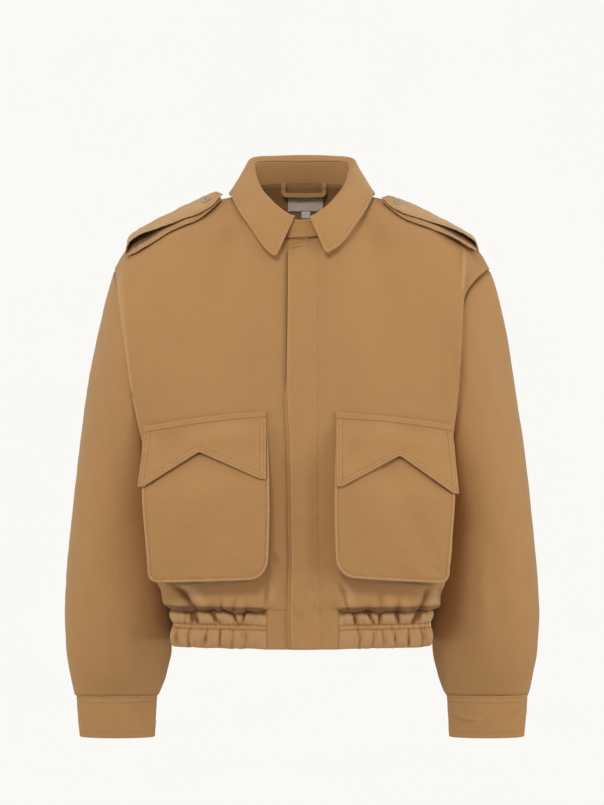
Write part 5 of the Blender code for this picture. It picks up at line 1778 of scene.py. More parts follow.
@dataclass
class Fly:
    """The covered fly, and the facing whose edge shows beside it."""

    ground: Ground
    finishes: Wardrobe
    sewn_x: float = 26
    top_z: float = -73
    leaves_z: float = -530
    hem_y: float = -121.3
    facing_top_z: float = -250
    facing_inner_x: float = -2
    facing_shows: float = 4.2
    clearance: float = 0.9
    placket_size: tuple[int, int] = (262, 32)
    facing_size: tuple[int, int] = (180, 14)
    edge: tuple[EdgePoint, ...] = (
        EdgePoint(-620, -12.6, 24.2),
        EdgePoint(-590, -15.0, 24.0),
        EdgePoint(-560, -14.6, 23.8),
        EdgePoint(-505, -13.6, 23.0),
        EdgePoint(-450, -14.6, 22.2),
        EdgePoint(-340, -16.4, 20.8),
        EdgePoint(-290, -18.8, 20.4),
        EdgePoint(-265, -19.6, 20.4),
        EdgePoint(-180, -18.8, 20.4),
        EdgePoint(-73, -18.0, 20.4),
    )

    def front_y(self, x: np.ndarray, z: np.ndarray) -> np.ndarray:
        """How far forward the front is under the fly, which leaves the body above the gathered hem."""
        x, z = np.broadcast_arrays(x, z)
        on_body = self.ground.front(x, np.clip(z, self.leaves_z, None))[0][..., 1]
        leaves = self.ground.front(4, self.leaves_z)[0][1]
        hanging = np.interp(z, [HEM_Z, self.leaves_z], [self.hem_y, leaves])
        share = rise(z, self.leaves_z + 14, self.leaves_z)
        return on_body * (1 - share) + hanging * share

    def placket(self) -> Net:
        """The fly's outer layer: free at its left edge, and sunk into the front at its sewn one."""
        rows, columns = self.placket_size
        z = np.linspace(self.top_z, HEM_Z, rows)[:, None]
        share = np.linspace(0, 1, columns)[None, :]
        left = row_at(self.edge, z[:, 0]).edge_x[:, None]
        x = left + (self.sewn_x - left) * share
        top_slope = bump(z - self.top_z, 26) * (x - 14) * 0.19
        gap = 0.35 + 3.4 * rise(share, 0.9, 0.4) - 0.9 * rise(share, 0.86, 1)
        return Net(points(x, self.front_y(x, z) - gap, z + top_slope)).facing(from_plane(FORWARDS))

    def relief(self, net: Net) -> np.ndarray:
        """Small puckers across the fly, and the dent of its stitching."""
        x, _, z = net.places.T
        row = row_at(self.edge, z)
        from_stitch = x - row.stitch_x
        total = -0.5 * bump(from_stitch, 0.9) + 0.3 * bump(from_stitch + 3, 2.4)
        total += 0.14 * uneven(x * 0.5, z, 17, 91) * ease((row.stitch_x - x) / 4)
        total += 0.1 * uneven(x * 0.6, z, 6, 92) * bump(from_stitch + 2, 4)
        total += 0.55 * uneven(x + z, z * 0.4, 26, 93) * rise(z, -505, -545)
        return total + 0.3 * bump(x - row.edge_x, 1.6)

    def shade(self, net: Net) -> None:
        """Paints a pale highlight along the fly's free edge, and painted shade along the slanting seam near
        its top.
        """
        x, _, z = net.places.T
        net.relief += 0.5 * bump(net.across.ravel() - 0.8, 1.1)
        net.relief -= 1.2 * bump(z + 82.5 - (x + 20) * 0.1, 0.8) * rise(x, 11, 8)

    def under(self) -> Net:
        """The facing of the wearer's right front."""
        rows, columns = self.facing_size
        z = np.linspace(self.facing_top_z, HEM_Z, rows)[:, None]
        share = np.linspace(0, 1, columns)[None, :]
        out = self.facing_shows * rise(z, self.facing_top_z - 2, self.facing_top_z - 42)
        left = row_at(self.edge, z[:, 0]).edge_x[:, None] - out
        x = left + (self.facing_inner_x - left) * share
        y = self.front_y(x, z) - TRIM - self.clearance
        return Net(points(x, y, z)).facing(from_plane(FORWARDS))

    def build(self) -> None:
        """Makes the fly, the facing and the fly's stitching."""
        placket, facing = self.placket(), self.under()
        placket.raised(self.relief(placket), 0.4)
        self.shade(placket)
        self.finishes.wear(placket, "fly_panel", "fly_placket", PANEL, ["front_left_panel"])
        facing.raised(0.3 * uneven(facing.places[:, 0], facing.places[:, 2], 30, 95), 0)
        self.finishes.wear(facing, "fly_facing", "under_fly", TRIM, ["front_right_panel"])
        sewing = Sewing("fly_stitches", self.finishes.thread)
        z = np.linspace(self.top_z - 6, HEM_Z + 3, 400)
        sewing.add(Ground(placket).front(row_at(self.edge, z).stitch_x, z))
        sewing.make()


# The hem band -----------------------------------------------------------------------------------------


class HemLine:
    """The body's lower edge on one side, measured along itself from the middle of the front."""

    def __init__(self, form: BodyForm, side: Side) -> None:
        """Reads the line from the body's form."""
        column, height = np.linspace(0, SIDE, 300), np.full(300, float(BODY_HEM_Z))
        front = form.lower(True, side, column, height)
        back = form.lower(False, side, column[::-1][1:], height[1:])
        self.side = side
        self.line = np.concatenate([front, back])[:, :2]
        self.along = travelled(self.line)
        self.length = float(self.along[-1])
        ahead = np.gradient(self.line, axis=0)
        self.out = unit(np.stack([ahead[:, 1], -ahead[:, 0]], axis=1))

    def at(self, along: np.ndarray, out: np.ndarray) -> tuple[np.ndarray, np.ndarray]:
        """x and y on the line, moved outwards by `out`."""
        (x, y), (away_x, away_y) = (
            [np.interp(along, self.along, column) for column in values.T] for values in (self.line, self.out)
        )
        return (x + away_x * out) * self.side.value, y + away_y * out

    def where(self, x: float) -> float:
        """How far along the line x is, on the front."""
        front = self.line[:, 1] < -80
        return float(np.interp(x, self.line[front, 0], self.along[front]))


class Trough(NamedTuple):
    """A gather's trough on the front: its X at the channel's top and at its bottom."""

    top_x: float
    bottom_x: float


@dataclass
class HemBand:
    """The band gathered on elastic in two channels, and the flat ends beside the fly."""

    form: BodyForm
    finishes: Wardrobe
    straight: Callable[[np.ndarray, np.ndarray], np.ndarray]
    top_z: float = BODY_HEM_Z - 0.1
    seams: tuple[float, float] = (-587.6, -593.6)
    band_end: tuple[float, float] = (50, -48)
    puff: float = 3.4
    roll: tuple[float, float] = (4.4, 2.4)
    usual_roll: float = 15
    spacing: float = 1.7
    tucked: float = 9
    shown_length: float = 175
    gap: tuple[float, float] = (11, 24)
    lean: float = 7
    end_size: tuple[int, int] = (36, 34)
    upper: tuple[Trough, ...] = (
        Trough(-146, -139),
        Trough(-124, -110),
        Trough(-94, -83),
        Trough(-74, -82),
        Trough(-62, -58),
        Trough(66, 71),
        Trough(85, 98),
        Trough(104, 101),
        Trough(124, 130),
        Trough(156, 146),
    )
    lower: tuple[Trough, ...] = (
        Trough(-166.8, -165),
        Trough(-150.8, -152),
        Trough(-128, -130),
        Trough(-109.4, -108),
        Trough(-92, -94),
        Trough(-75.4, -74),
        Trough(-60, -61),
        Trough(60, 59),
        Trough(76, 77),
        Trough(96, 95),
        Trough(106.8, 108),
        Trough(123, 125),
        Trough(142.8, 142),
        Trough(160, 161),
    )

    def __post_init__(self) -> None:
        """Measures the line that the band follows, from the wearer's right end seam round to the left."""
        self.lines = {side: HemLine(self.form, side) for side in Side}
        ends = dict(zip(Side, self.band_end))
        self.starts = {side: self.lines[side].where(abs(ends[side])) for side in Side}
        self.right = self.lines[Side.RIGHT].length - self.starts[Side.RIGHT]
        self.total = self.right + self.lines[Side.LEFT].length - self.starts[Side.LEFT]
        self.upper_troughs, self.lower_troughs = self.troughs(self.upper, 7), self.troughs(self.lower, 8)

    def travel(self, x: float) -> float:
        """How far along the band a place on the front is."""
        if x < 0:
            return self.lines[Side.RIGHT].where(-x) - self.starts[Side.RIGHT]
        return self.total - self.lines[Side.LEFT].where(x) + self.starts[Side.LEFT]

    def troughs(self, shown: Sequence[Trough], seed: int) -> tuple[np.ndarray, np.ndarray]:
        """Every trough of a channel, top and bottom: those on the front, and others like them behind."""
        ends = [(self.travel(t.top_x), self.travel(t.bottom_x)) for t in shown]
        draw = np.random.default_rng(seed)
        at = self.shown_length
        while at < self.total - self.shown_length:
            lean = draw.uniform(-self.lean, self.lean)
            ends.append((at - lean / 2, at + lean / 2))
            at += draw.uniform(*self.gap)
        ends += [(0.0, 0.0), (self.total, self.total)]
        return tuple(np.sort(np.array(ends), axis=0).T)

    def rolls(self, travel: np.ndarray, share: float, troughs: tuple, height: float) -> np.ndarray:
        """The rounded rolls of a channel between its troughs, along one level.

        Args:
            travel: the places along the band.
            share: how far down the channel the level is.
            troughs: the channel's troughs, top and bottom.
            height: how far a roll as wide as usual stands out.

        Returns:
            A height for each place.
        """
        at = troughs[0] * (1 - share) + troughs[1] * share
        i = np.clip(np.searchsorted(at, travel, side="right") - 1, 0, len(at) - 2)
        width = np.maximum(at[i + 1] - at[i], 0.1)
        t = np.clip((travel - at[i]) / width, 0, 1)
        return height * np.clip(width / self.usual_roll, 0.4, 1.3) * (np.sin(pi * t) ** 0.45 - 0.7)

    def standing_out(self, travel: np.ndarray, z: float) -> np.ndarray:
        """How far the band stands out at a height: two channels, and the flat strip between their seams."""
        (top_seam, low_seam), (upper_roll, lower_roll) = self.seams, self.roll
        if z > top_seam:
            share = (self.top_z - z) / (self.top_z - top_seam)
            rolls = self.rolls(travel, share, self.upper_troughs, upper_roll)
            return self.puff * np.sin(pi * min(share, 1)) ** 0.7 + rolls * np.sin(pi * (0.12 + 0.8 * share))
        if z > low_seam:
            middle = np.sin(pi * (top_seam - z) / (top_seam - low_seam))
            return 0.7 * middle + 0.3 * uneven(travel, 0 * travel + z, 8, 9) * (0.4 + 0.6 * middle)
        share = (low_seam - z) / (low_seam - HEM_Z)
        rolls = self.rolls(travel, share, self.lower_troughs, lower_roll)
        rolls = rolls * np.sin(pi * (0.1 + 0.8 * share)) ** 0.6
        return self.puff * np.sin(pi * (0.04 + 0.93 * share)) ** 0.6 + rolls

    def outline(self, travel: np.ndarray, out: np.ndarray) -> list[np.ndarray]:
        """x and y of places along the band, moved outwards by `out`."""
        right = self.lines[Side.RIGHT].at(self.starts[Side.RIGHT] + travel, out)
        left = self.lines[Side.LEFT].at(self.starts[Side.LEFT] + self.total - travel, out)
        return [np.where(travel < self.right, a, b) for a, b in zip(right, left)]

    def hung_y(self, x: np.ndarray, y: np.ndarray, z: float) -> np.ndarray:
        """y brought forward where the middle of the front hangs straight, a little less at the hem."""
        forward = self.straight(x, np.full_like(x, float(BODY_HEM_Z))) * (y < -60)
        return y - forward * (1 - 0.24 * (BODY_HEM_Z - z) / (BODY_HEM_Z - HEM_Z))

    def band(self) -> Net:
        """The gathered band."""
        travel = np.linspace(0, self.total, int(self.total / self.spacing) + 1)
        flat_end = ease(np.minimum(travel, self.total - travel) / self.tucked)
        droop = 0.5 * uneven(travel, 0 * travel, 40, 12) + 0.3 * uneven(travel, 0 * travel, 8, 14)
        heights = np.concatenate([
            np.linspace(self.top_z, self.seams[0], 17)[:-1],
            np.linspace(*self.seams, 6)[:-1],
            np.linspace(self.seams[1], HEM_Z, 20),
        ])
        rows = []
        for z in heights:
            out = self.standing_out(travel, z) + 0.55 * uneven(travel, 0 * travel + 0.3 * z, 6, 10)
            x, y = self.outline(travel, out * flat_end + 0.8 * (1 - flat_end))
            rows.append(points(x, self.hung_y(x, y, z), z + droop))
        return Net(np.array(rows)).facing(from_axis(0, 0))

    def end(self, side: Side) -> Net:
        """The flat end of the band beside the fly."""
        line = self.lines[side]
        levels, columns = self.end_size
        along = np.linspace(line.where(0.2), self.starts[side] - 0.2, columns)
        rows = []
        for z in np.linspace(BODY_HEM_Z, HEM_Z, levels):
            share = (BODY_HEM_Z - z) / (BODY_HEM_Z - HEM_Z)
            x, y = line.at(along, 0.3 * uneven(along, 0 * along + z, 18, 13) * share)
            rows.append(points(x, self.hung_y(x, y, z), z))
        return Net(np.array(rows)).facing(from_axis(0, 0))

    def shade(self, band: Net) -> None:
        """Paints shade by how deep each point lies: darker in the troughs, along the seams and on the strip
        under the lip, where the lip's shadow falls, and paler on the rolls.
        """
        travel = np.linspace(0, self.total, band.shape[1])
        base = np.stack(self.outline(travel, 0 * travel), axis=1)
        out = np.linalg.norm(band.grid()[:, :, :2] - base, axis=2)
        depth = (out - out.mean(1, keepdims=True)).ravel()
        z = band.places[:, 2]
        band.relief = 1.2 * np.clip(depth + 0.5, -2.0, 0.4) + 0.1
        band.relief *= 1 + 0.5 * (z > self.seams[0])
        band.relief -= 2.6 * rise(band.down.ravel(), 11, 5)
        for seam in self.seams:
            band.relief -= 1.7 * bump(z - seam, 1.2)

    def build(self) -> None:
        """Makes the band, its ends and the rows of stitching between the channels."""
        sewing = Sewing("hem_stitches", self.finishes.thread)
        band = self.band()
        self.shade(band)
        panels = ["front_left_panel", "front_right_panel", "back_panel"]
        self.finishes.wear(band, "hem_band_gathered", "hem_band", PANEL, panels, Held.GATHERED)
        columns = np.linspace(2, band.shape[1] - 3, int(self.total))
        for z in self.seams:
            row = float(np.interp(-z, -band.grid()[:, 0, 2], np.arange(band.shape[0])))
            sewing.add(band.line(np.full(len(columns), row), columns))
        for side in Side:
            end, word = self.end(side), side.word
            # painted shade along the band end's edge at its seam with the gathered band
            end.relief = 0.1 - 1.5 * bump(end.across.ravel() - end.across.max(), 1.6)
            panel = [f"front_{word}_panel"]
            self.finishes.wear(end, f"band_end_{word}_panel", f"band_end_{word}", PANEL, panel)
        sewing.make()


# Pockets ----------------------------------------------------------------------------------------------


class Across(NamedTuple):
    """A size on a pocket's side nearer the middle of the jacket, and on its outer side."""

    inner: float
    outer: float

    def at(self, share: Values) -> Values:
        """The size at a share of the way outwards."""
        return self.inner + (self.outer - self.inner) * share


class PocketShape(NamedTuple):
    """A pocket's outline on the front, seen level."""

    sides: Across
    welt_z: Across
    tip_z: Across
    peak_x: float
    peak_z: float
    flap: Across
    foot: Across
    bottom_z: Across
    corner: Across = Across(25, 14)


POCKETS = {
    Side.LEFT: PocketShape(
        sides=Across(46, 202),
        welt_z=Across(-303, -320),
        tip_z=Across(-401, -411),
        peak_x=130,
        peak_z=-360,
        flap=Across(46, 209),
        foot=Across(42, 190),
        bottom_z=Across(-521, -531),
    ),
    Side.RIGHT: PocketShape(
        sides=Across(46, 211),
        welt_z=Across(-301, -322),
        tip_z=Across(-391, -402),
        peak_x=137,
        peak_z=-355,
        flap=Across(48, 219),
        foot=Across(40, 195),
        bottom_z=Across(-524, -530),
    ),
}


@dataclass
class Pocket:
    """A bellows pocket: its face and gusset, its notched flap and the welt that the flap is sewn to."""

    side: Side
    ground: Ground
    finishes: Wardrobe
    welt_height: float = 8
    mouth: float = 26
    depths: Across = Across(5, 24)
    foot_gap: float = 1.5
    spread: float = 5.5
    sag: float = 5.0
    dome: float = 3
    hinge: float = 3.4
    stand: float = 3.4
    slope: float = 27
    face_stitch: float = 4.4
    left_crease: Crease = Crease(190, -540, 96, -340, 3.4, 17.0)
    flap_rows: tuple[float, float] = (2.8, 7.6)
    flap_length: float = 90
    spacing: float = 2.3
    welt_size: tuple[int, int] = (17, 90)
    welt_turn: tuple[float, ...] = (0, 0.12, 0.25, 0.6, 0.9, 1)
    welt_drop: tuple[float, ...] = (0.02, -0.04, 0.08, 0.55, 1.0, 1.14)
    welt_depth: tuple[float, ...] = (0.4, 2.4, 3.6, 4.4, 4.0, 2.4)

    def __post_init__(self) -> None:
        """Looks up the side's outline."""
        self.shape = POCKETS[self.side]

    def depth(self, share: np.ndarray) -> np.ndarray:
        """How far the face stands out from the panel, at a share of the way down."""
        return self.depths.at(ease(share * 2.3))

    def before(self, x: np.ndarray, z: np.ndarray, depth: np.ndarray) -> np.ndarray:
        """Points in front of the panel. The face is narrower where it is sewn on than where it stands out."""
        middle = self.shape.foot.at(0.5)
        narrow = min((self.shape.foot.outer - middle) / (self.shape.sides.outer - middle), 1)
        y = self.ground.front(self.side.value * (middle + (x - middle) * narrow), z)[0][..., 1]
        return points(self.side.value * x, y - depth, z)

    def face(self) -> Net:
        """The face, as far up as the mouth under the flap, with its bottom corners rounded."""
        shape = self.shape
        width = shape.sides.outer - shape.sides.inner
        height = shape.welt_z.at(0.5) - self.mouth - shape.bottom_z.at(0.5)
        a, b = np.meshgrid(
            stations(width, self.spacing, 8, 8, 1.0), stations(height, self.spacing, 8, 0, 1.0)[::-1]
        )
        a, b = round_corner(a, b, shape.corner.inner)
        far, b = round_corner(width - a, b, shape.corner.outer)
        s, t = 1 - far / width, 1 - b / height
        sides = Across(shape.sides.inner - 3 * np.sin(pi * t), shape.sides.outer + 2 - 8 * rise(t, 0.3, 1))
        x, z = sides.at(s), Across(shape.welt_z.at(s) - self.mouth, shape.bottom_z.at(s)).at(t)
        dome = self.dome * np.sin(pi * s) * np.sin(pi * np.minimum(t * 1.1, 1))
        return Net(self.before(x, z, self.depth(t) + dome)).facing(from_plane(FORWARDS))

    def face_relief(self, face: Net, seed: int) -> np.ndarray:
        """The face's turned and stitched edge."""
        apart, along = distance_to(face.free_edge()[:, [0, 2]], face.places[:, [0, 2]])
        total = 0.75 * bump(apart - 1.4, 1.9) - 0.5 * bump(apart - self.face_stitch, 1.0)
        return total + 0.16 * uneven(along + apart * 0.5, apart * 0.3, 8, seed) * bump(apart - 3, 4)

    def slack(self, face: Net, seed: int) -> np.ndarray:
        """The soft unevenness of the face inside its rim."""
        x, z = face.places[:, 0], face.places[:, 2]
        inside = distance_to(face.free_edge()[:, [0, 2]], face.places[:, [0, 2]])[0]
        loose = 0.9 * uneven(x, z * 0.7, 70, seed) + 0.2 * uneven(x + z, z, 26, seed + 1)
        if self.side is Side.LEFT:
            loose = loose + self.left_crease.relief(x, z)
        return rise(inside, 5, 19) * loose

    def gusset(self, face: Net) -> Net:
        """The bellows gusset, from the face's edge back to the panel, tucked in the middle."""
        border, side = face.free_edge(), self.side.value
        middle = side * self.shape.foot.at(0.5)
        half = (self.shape.foot.outer - self.shape.foot.inner) / 2
        foot = border.copy()
        foot[:, 0] = middle + (border[:, 0] - middle) * half / np.abs(border[:, 0] - middle).max()
        foot[:, 0] -= side * self.spread * ease(side * (middle - border[:, 0]) / half * 1.6 - 0.4)
        lowest = border[:, 2].min()
        foot[:, 2] -= self.sag * rise(border[:, 2], lowest + 16, lowest)
        foot = self.ground.front(foot[:, 0], foot[:, 2])[0] - [0, self.foot_gap, 0]
        centre = np.array([middle, 0, face.places[:, 2].mean()])
        inwards = unit((centre - (border + foot) / 2) * [1, 0, 1])
        along = travelled(border)
        loose = uneven(along, 0 * along, 46, 121 + side)[:, None]
        shares = np.linspace(0, 1, 19)[:, None, None]
        tuck = (2.2 + 2.6 * loose) * np.sin(pi * shares) ** 2 + 0.9 * np.sin(3 * pi * shares) * loose
        net = Net(border * (1 - shares) + foot * shares + inwards * tuck)
        net.facing(lambda centres: centres * 0 + [middle, -90, -420])
        # painted shade on the gusset, darkest towards the panel, for the shadow under the pocket
        net.relief = np.repeat(-0.3 - 1.6 * shares.ravel() ** 1.5, net.shape[1])
        return net

    def flap_bottom(self, s: np.ndarray) -> np.ndarray:
        """The height of the flap's lower edge: two tips, and a notch that rises to a peak between them."""
        flap, (inner, outer) = self.shape.flap, self.shape.tip_z
        peak = (self.shape.peak_x - flap.inner) / (flap.outer - flap.inner)
        heights = [inner, inner + 1, self.shape.peak_z, outer + 1, outer]
        return np.interp(s, [0, 0.05, peak, 0.95, 1], heights) - 0.7 * bump(s - peak, 0.008)

    def welt_line(self, s: np.ndarray) -> tuple[np.ndarray, np.ndarray]:
        """x and z of the welt's upper edge."""
        x = Across(self.shape.flap.inner, self.shape.sides.outer).at(s)
        return x, self.shape.welt_z.at(s) + 2.5 * np.sin(pi * s)

    def flap(self) -> Net:
        """The flap."""
        shape = self.shape
        width = shape.flap.outer - shape.flap.inner
        s = stations(width, self.spacing, 9, 9, 0.9)[None, :] / width
        fall = stations(self.flap_length, self.spacing, 0, 11, 0.9)[:, None] / self.flap_length
        top_x, top_z = self.welt_line(s)
        top_z = top_z - self.welt_height - SEAM - 0.4
        x, z = Across(top_x, shape.flap.at(s)).at(fall), Across(top_z, self.flap_bottom(s)).at(fall)
        mouth_z = shape.welt_z.at(s) - self.mouth
        share = np.clip((mouth_z - z) / (mouth_z - shape.bottom_z.inner), 0, 1)
        over = self.depth(share) + self.stand + PANEL + 2.2 * np.sin(pi * s)
        depth = Across(self.hinge, over).at(ease((top_z - z) / self.slope))
        return Net(self.before(x, z, depth)).facing(from_plane(FORWARDS))

    def flap_relief(self, flap: Net, seed: int) -> np.ndarray:
        """The flap's turned and twice stitched edge, and its slack."""
        flat = flap.places[:, [0, 2]]
        apart, along = distance_to(flap.free_edge()[:, [0, 2]], flat)
        slack = rise(apart, 6, 18) * 0.22 * uneven(*flat.T, 60, seed + 4)
        return sewn_relief(apart, along, self.flap_rows, seed) + slack

    def welt(self) -> Net:
        """The welt, a strip folded over the flap's top edge."""
        rows, columns = self.welt_size
        x, z = self.welt_line(np.linspace(0, 1, columns))
        turned = np.linspace(0, 1, rows)
        drop, depth = (smooth(self.welt_turn, v, turned)[:, None] for v in (self.welt_drop, self.welt_depth))
        x, depth = np.broadcast_arrays(x, depth)
        return Net(self.before(x, z - drop * self.welt_height, depth)).facing(from_plane(FORWARDS))

    def sew(self, sewing: Sewing, net: Net, rows: Sequence[float], ends: float) -> None:
        """Adds rows of stitches at their distances from a net's free edge, short of its ends."""
        distances = [self.side.value * row for row in rows]
        sewing.beside(net.free_edge()[::2, [0, 2]], distances, ends, Ground(net).front)

    def build(self) -> None:
        """Makes the pocket."""
        word, seed = self.side.word, 100 + self.side.value * 10
        panel = [f"front_{word}_panel"]
        face, flap, welt = self.face(), self.flap(), self.welt()
        face.raised(self.slack(face, seed + 1), 0)
        face.raised(self.face_relief(face, seed))
        bag = joined([face, self.gusset(face)])
        self.finishes.wear(bag, f"pocket_{word}", f"pocket_bag_{word}", TRIM, panel, Held.FOLDED)
        flap.raised(self.flap_relief(flap, seed), 1.1)
        self.finishes.wear(flap, f"flap_{word}", f"pocket_flap_{word}", PANEL, [f"welt_{word}"])
        self.finishes.wear(welt, f"welt_{word}", f"flap_welt_{word}", DOUBLE, panel)
        sewing = Sewing(f"pocket_stitches_{word}", self.finishes.thread)
        self.sew(sewing, face, [self.face_stitch], 40)
        self.sew(sewing, flap, self.flap_rows, 5)
        sewing.add(welt.along_row(2.4, 2, 2))
        sewing.make()


# Epaulettes -------------------------------------------------------------------------------------------


class Strap(NamedTuple):
    """A strap's two edges at x, and how far they stand off what is under them."""

    x: float
    back_y: float
    front_y: float
    back_lift: float
    front_lift: float


LOWER_STRAP = (
    Strap(111.5, -10, -12, 1.4, 1.4),
    Strap(124, -1, -24, 1.4, 1.4),
    Strap(136, 0, -33, 1.4, 1.4),
    Strap(160, 0, -43, 1.5, 1.5),
    Strap(190, 0, -50, 1.7, 1.7),
    Strap(214, 0, -53, 2.4, 2.4),
    Strap(230, -1, -52, 3.6, 3.6),
    Strap(240, -6, -42, 5.2, 5.2),
)

UPPER_STRAP = (
    Strap(110, -6, -7, 0.7, 0.7),
    Strap(122, 6, -20, 0.7, 0.7),
    Strap(135, 9, -26, 0.7, 1.2),
    Strap(160, 10, -31, 0.7, 1.4),
    Strap(190, 10, -36, 0.7, 4.6),
    Strap(218, 10, -39, 0.9, 12.5),
    Strap(242, 8, -36, 1.6, 12.0),
)


class Pressing(NamedTuple):
    """How flat a side's straps lie."""

    crown: float
    tip_lift: float
    upper_lift: float
    end_fall: float


@dataclass
class ShoulderButton:
    """A raised rim round a dished middle with four holes, sewn on with a cross of thread."""

    radius: float = 5.8
    height: float = 2.4
    rim: float = 1.1
    dish: tuple[float, float] = (0.5, 0.55)
    rounding: float = 0.45
    hole: float = 0.5
    hole_ring: float = 1.25
    thread_ring: float = 1.5
    thread_sunk: float = 0.35

    def make(self, name: str, finish: bpy.types.Material) -> bpy.types.Object:
        """Makes the button at the origin, facing up."""
        bpy.ops.object.select_all(action="DESELECT")
        bpy.ops.mesh.primitive_cylinder_add(vertices=48, radius=self.radius * MM, depth=self.height * MM)
        made = bpy.context.object
        made.name = made.data.name = name
        self.sink(made)
        for turn in pi / 4 + np.arange(4) * pi / 2:
            self.drill(made, self.hole_ring * np.cos(turn), self.hole_ring * np.sin(turn))
        made.data.materials.append(finish)
        return made

    def sink(self, button: bpy.types.Object) -> None:
        """Insets the button's top for its rim, sinks the middle and eases the edges."""
        bpy.ops.object.mode_set(mode="EDIT")
        bpy.ops.mesh.select_all(action="DESELECT")
        bpy.ops.object.mode_set(mode="OBJECT")
        top = max(button.data.polygons, key=lambda face: face.center.z)
        top.select = True
        bpy.ops.object.mode_set(mode="EDIT")
        bpy.ops.mesh.select_mode(type="FACE")
        bpy.ops.mesh.inset(thickness=self.rim * MM)
        bpy.ops.mesh.inset(thickness=self.dish[0] * MM)
        bpy.ops.transform.translate(value=(0, 0, -self.dish[1] * MM))
        bpy.ops.object.mode_set(mode="OBJECT")
        rim = button.modifiers.new("rim", "BEVEL")
        rim.width, rim.segments, rim.limit_method, rim.angle_limit = self.rounding * MM, 3, "ANGLE", 0.6
        bpy.ops.object.modifier_apply(modifier=rim.name)

    def drill(self, button: bpy.types.Object, x: float, y: float) -> None:
        """Cuts a thread hole through the button."""
        bpy.ops.mesh.primitive_cylinder_add(
            vertices=12, radius=self.hole * MM, depth=3 * self.height * MM, location=(x * MM, y * MM, 0)
        )
        cutter = bpy.context.object
        bpy.ops.object.select_all(action="DESELECT")
        button.select_set(True)
        bpy.context.view_layer.objects.active = button
        hole = button.modifiers.new("hole", "BOOLEAN")
        hole.operation, hole.object = "DIFFERENCE", cutter
        bpy.ops.object.modifier_apply(modifier=hole.name)
        bpy.data.objects.remove(cutter, do_unlink=True)

    def set_down(self, made: bpy.types.Object, place: Vector, axis: Vector) -> list[Path]:
        """Moves the button to its place on the strap.

        Args:
            made: the button at the origin.
            place: where the strap's surface is under it, in millimetres.
            axis: where the button faces.

        Returns:
            The two crossed stitches that hold it.
        """
        tilt, centre = axis.to_track_quat("Z", "Y"), place + axis * (self.height / 2 + 0.2)
        made.rotation_mode = "QUATERNION"
        made.rotation_quaternion, made.location = tilt, centre * MM
        bpy.ops.object.transform_apply(location=True, rotation=True, scale=True)
        bpy.ops.object.shade_smooth_by_angle(angle=0.6)
        top, ring = self.height / 2 - self.thread_sunk, self.thread_ring
        crossed = []
        for turns in ((pi / 4, 5 * pi / 4), (3 * pi / 4, 7 * pi / 4)):
            ends = [centre + tilt @ Vector((ring * np.cos(turn), ring * np.sin(turn), top)) for turn in turns]
            crossed.append((np.array(ends), np.array([tilt @ Vector(UPWARDS)] * 2)))
        return crossed


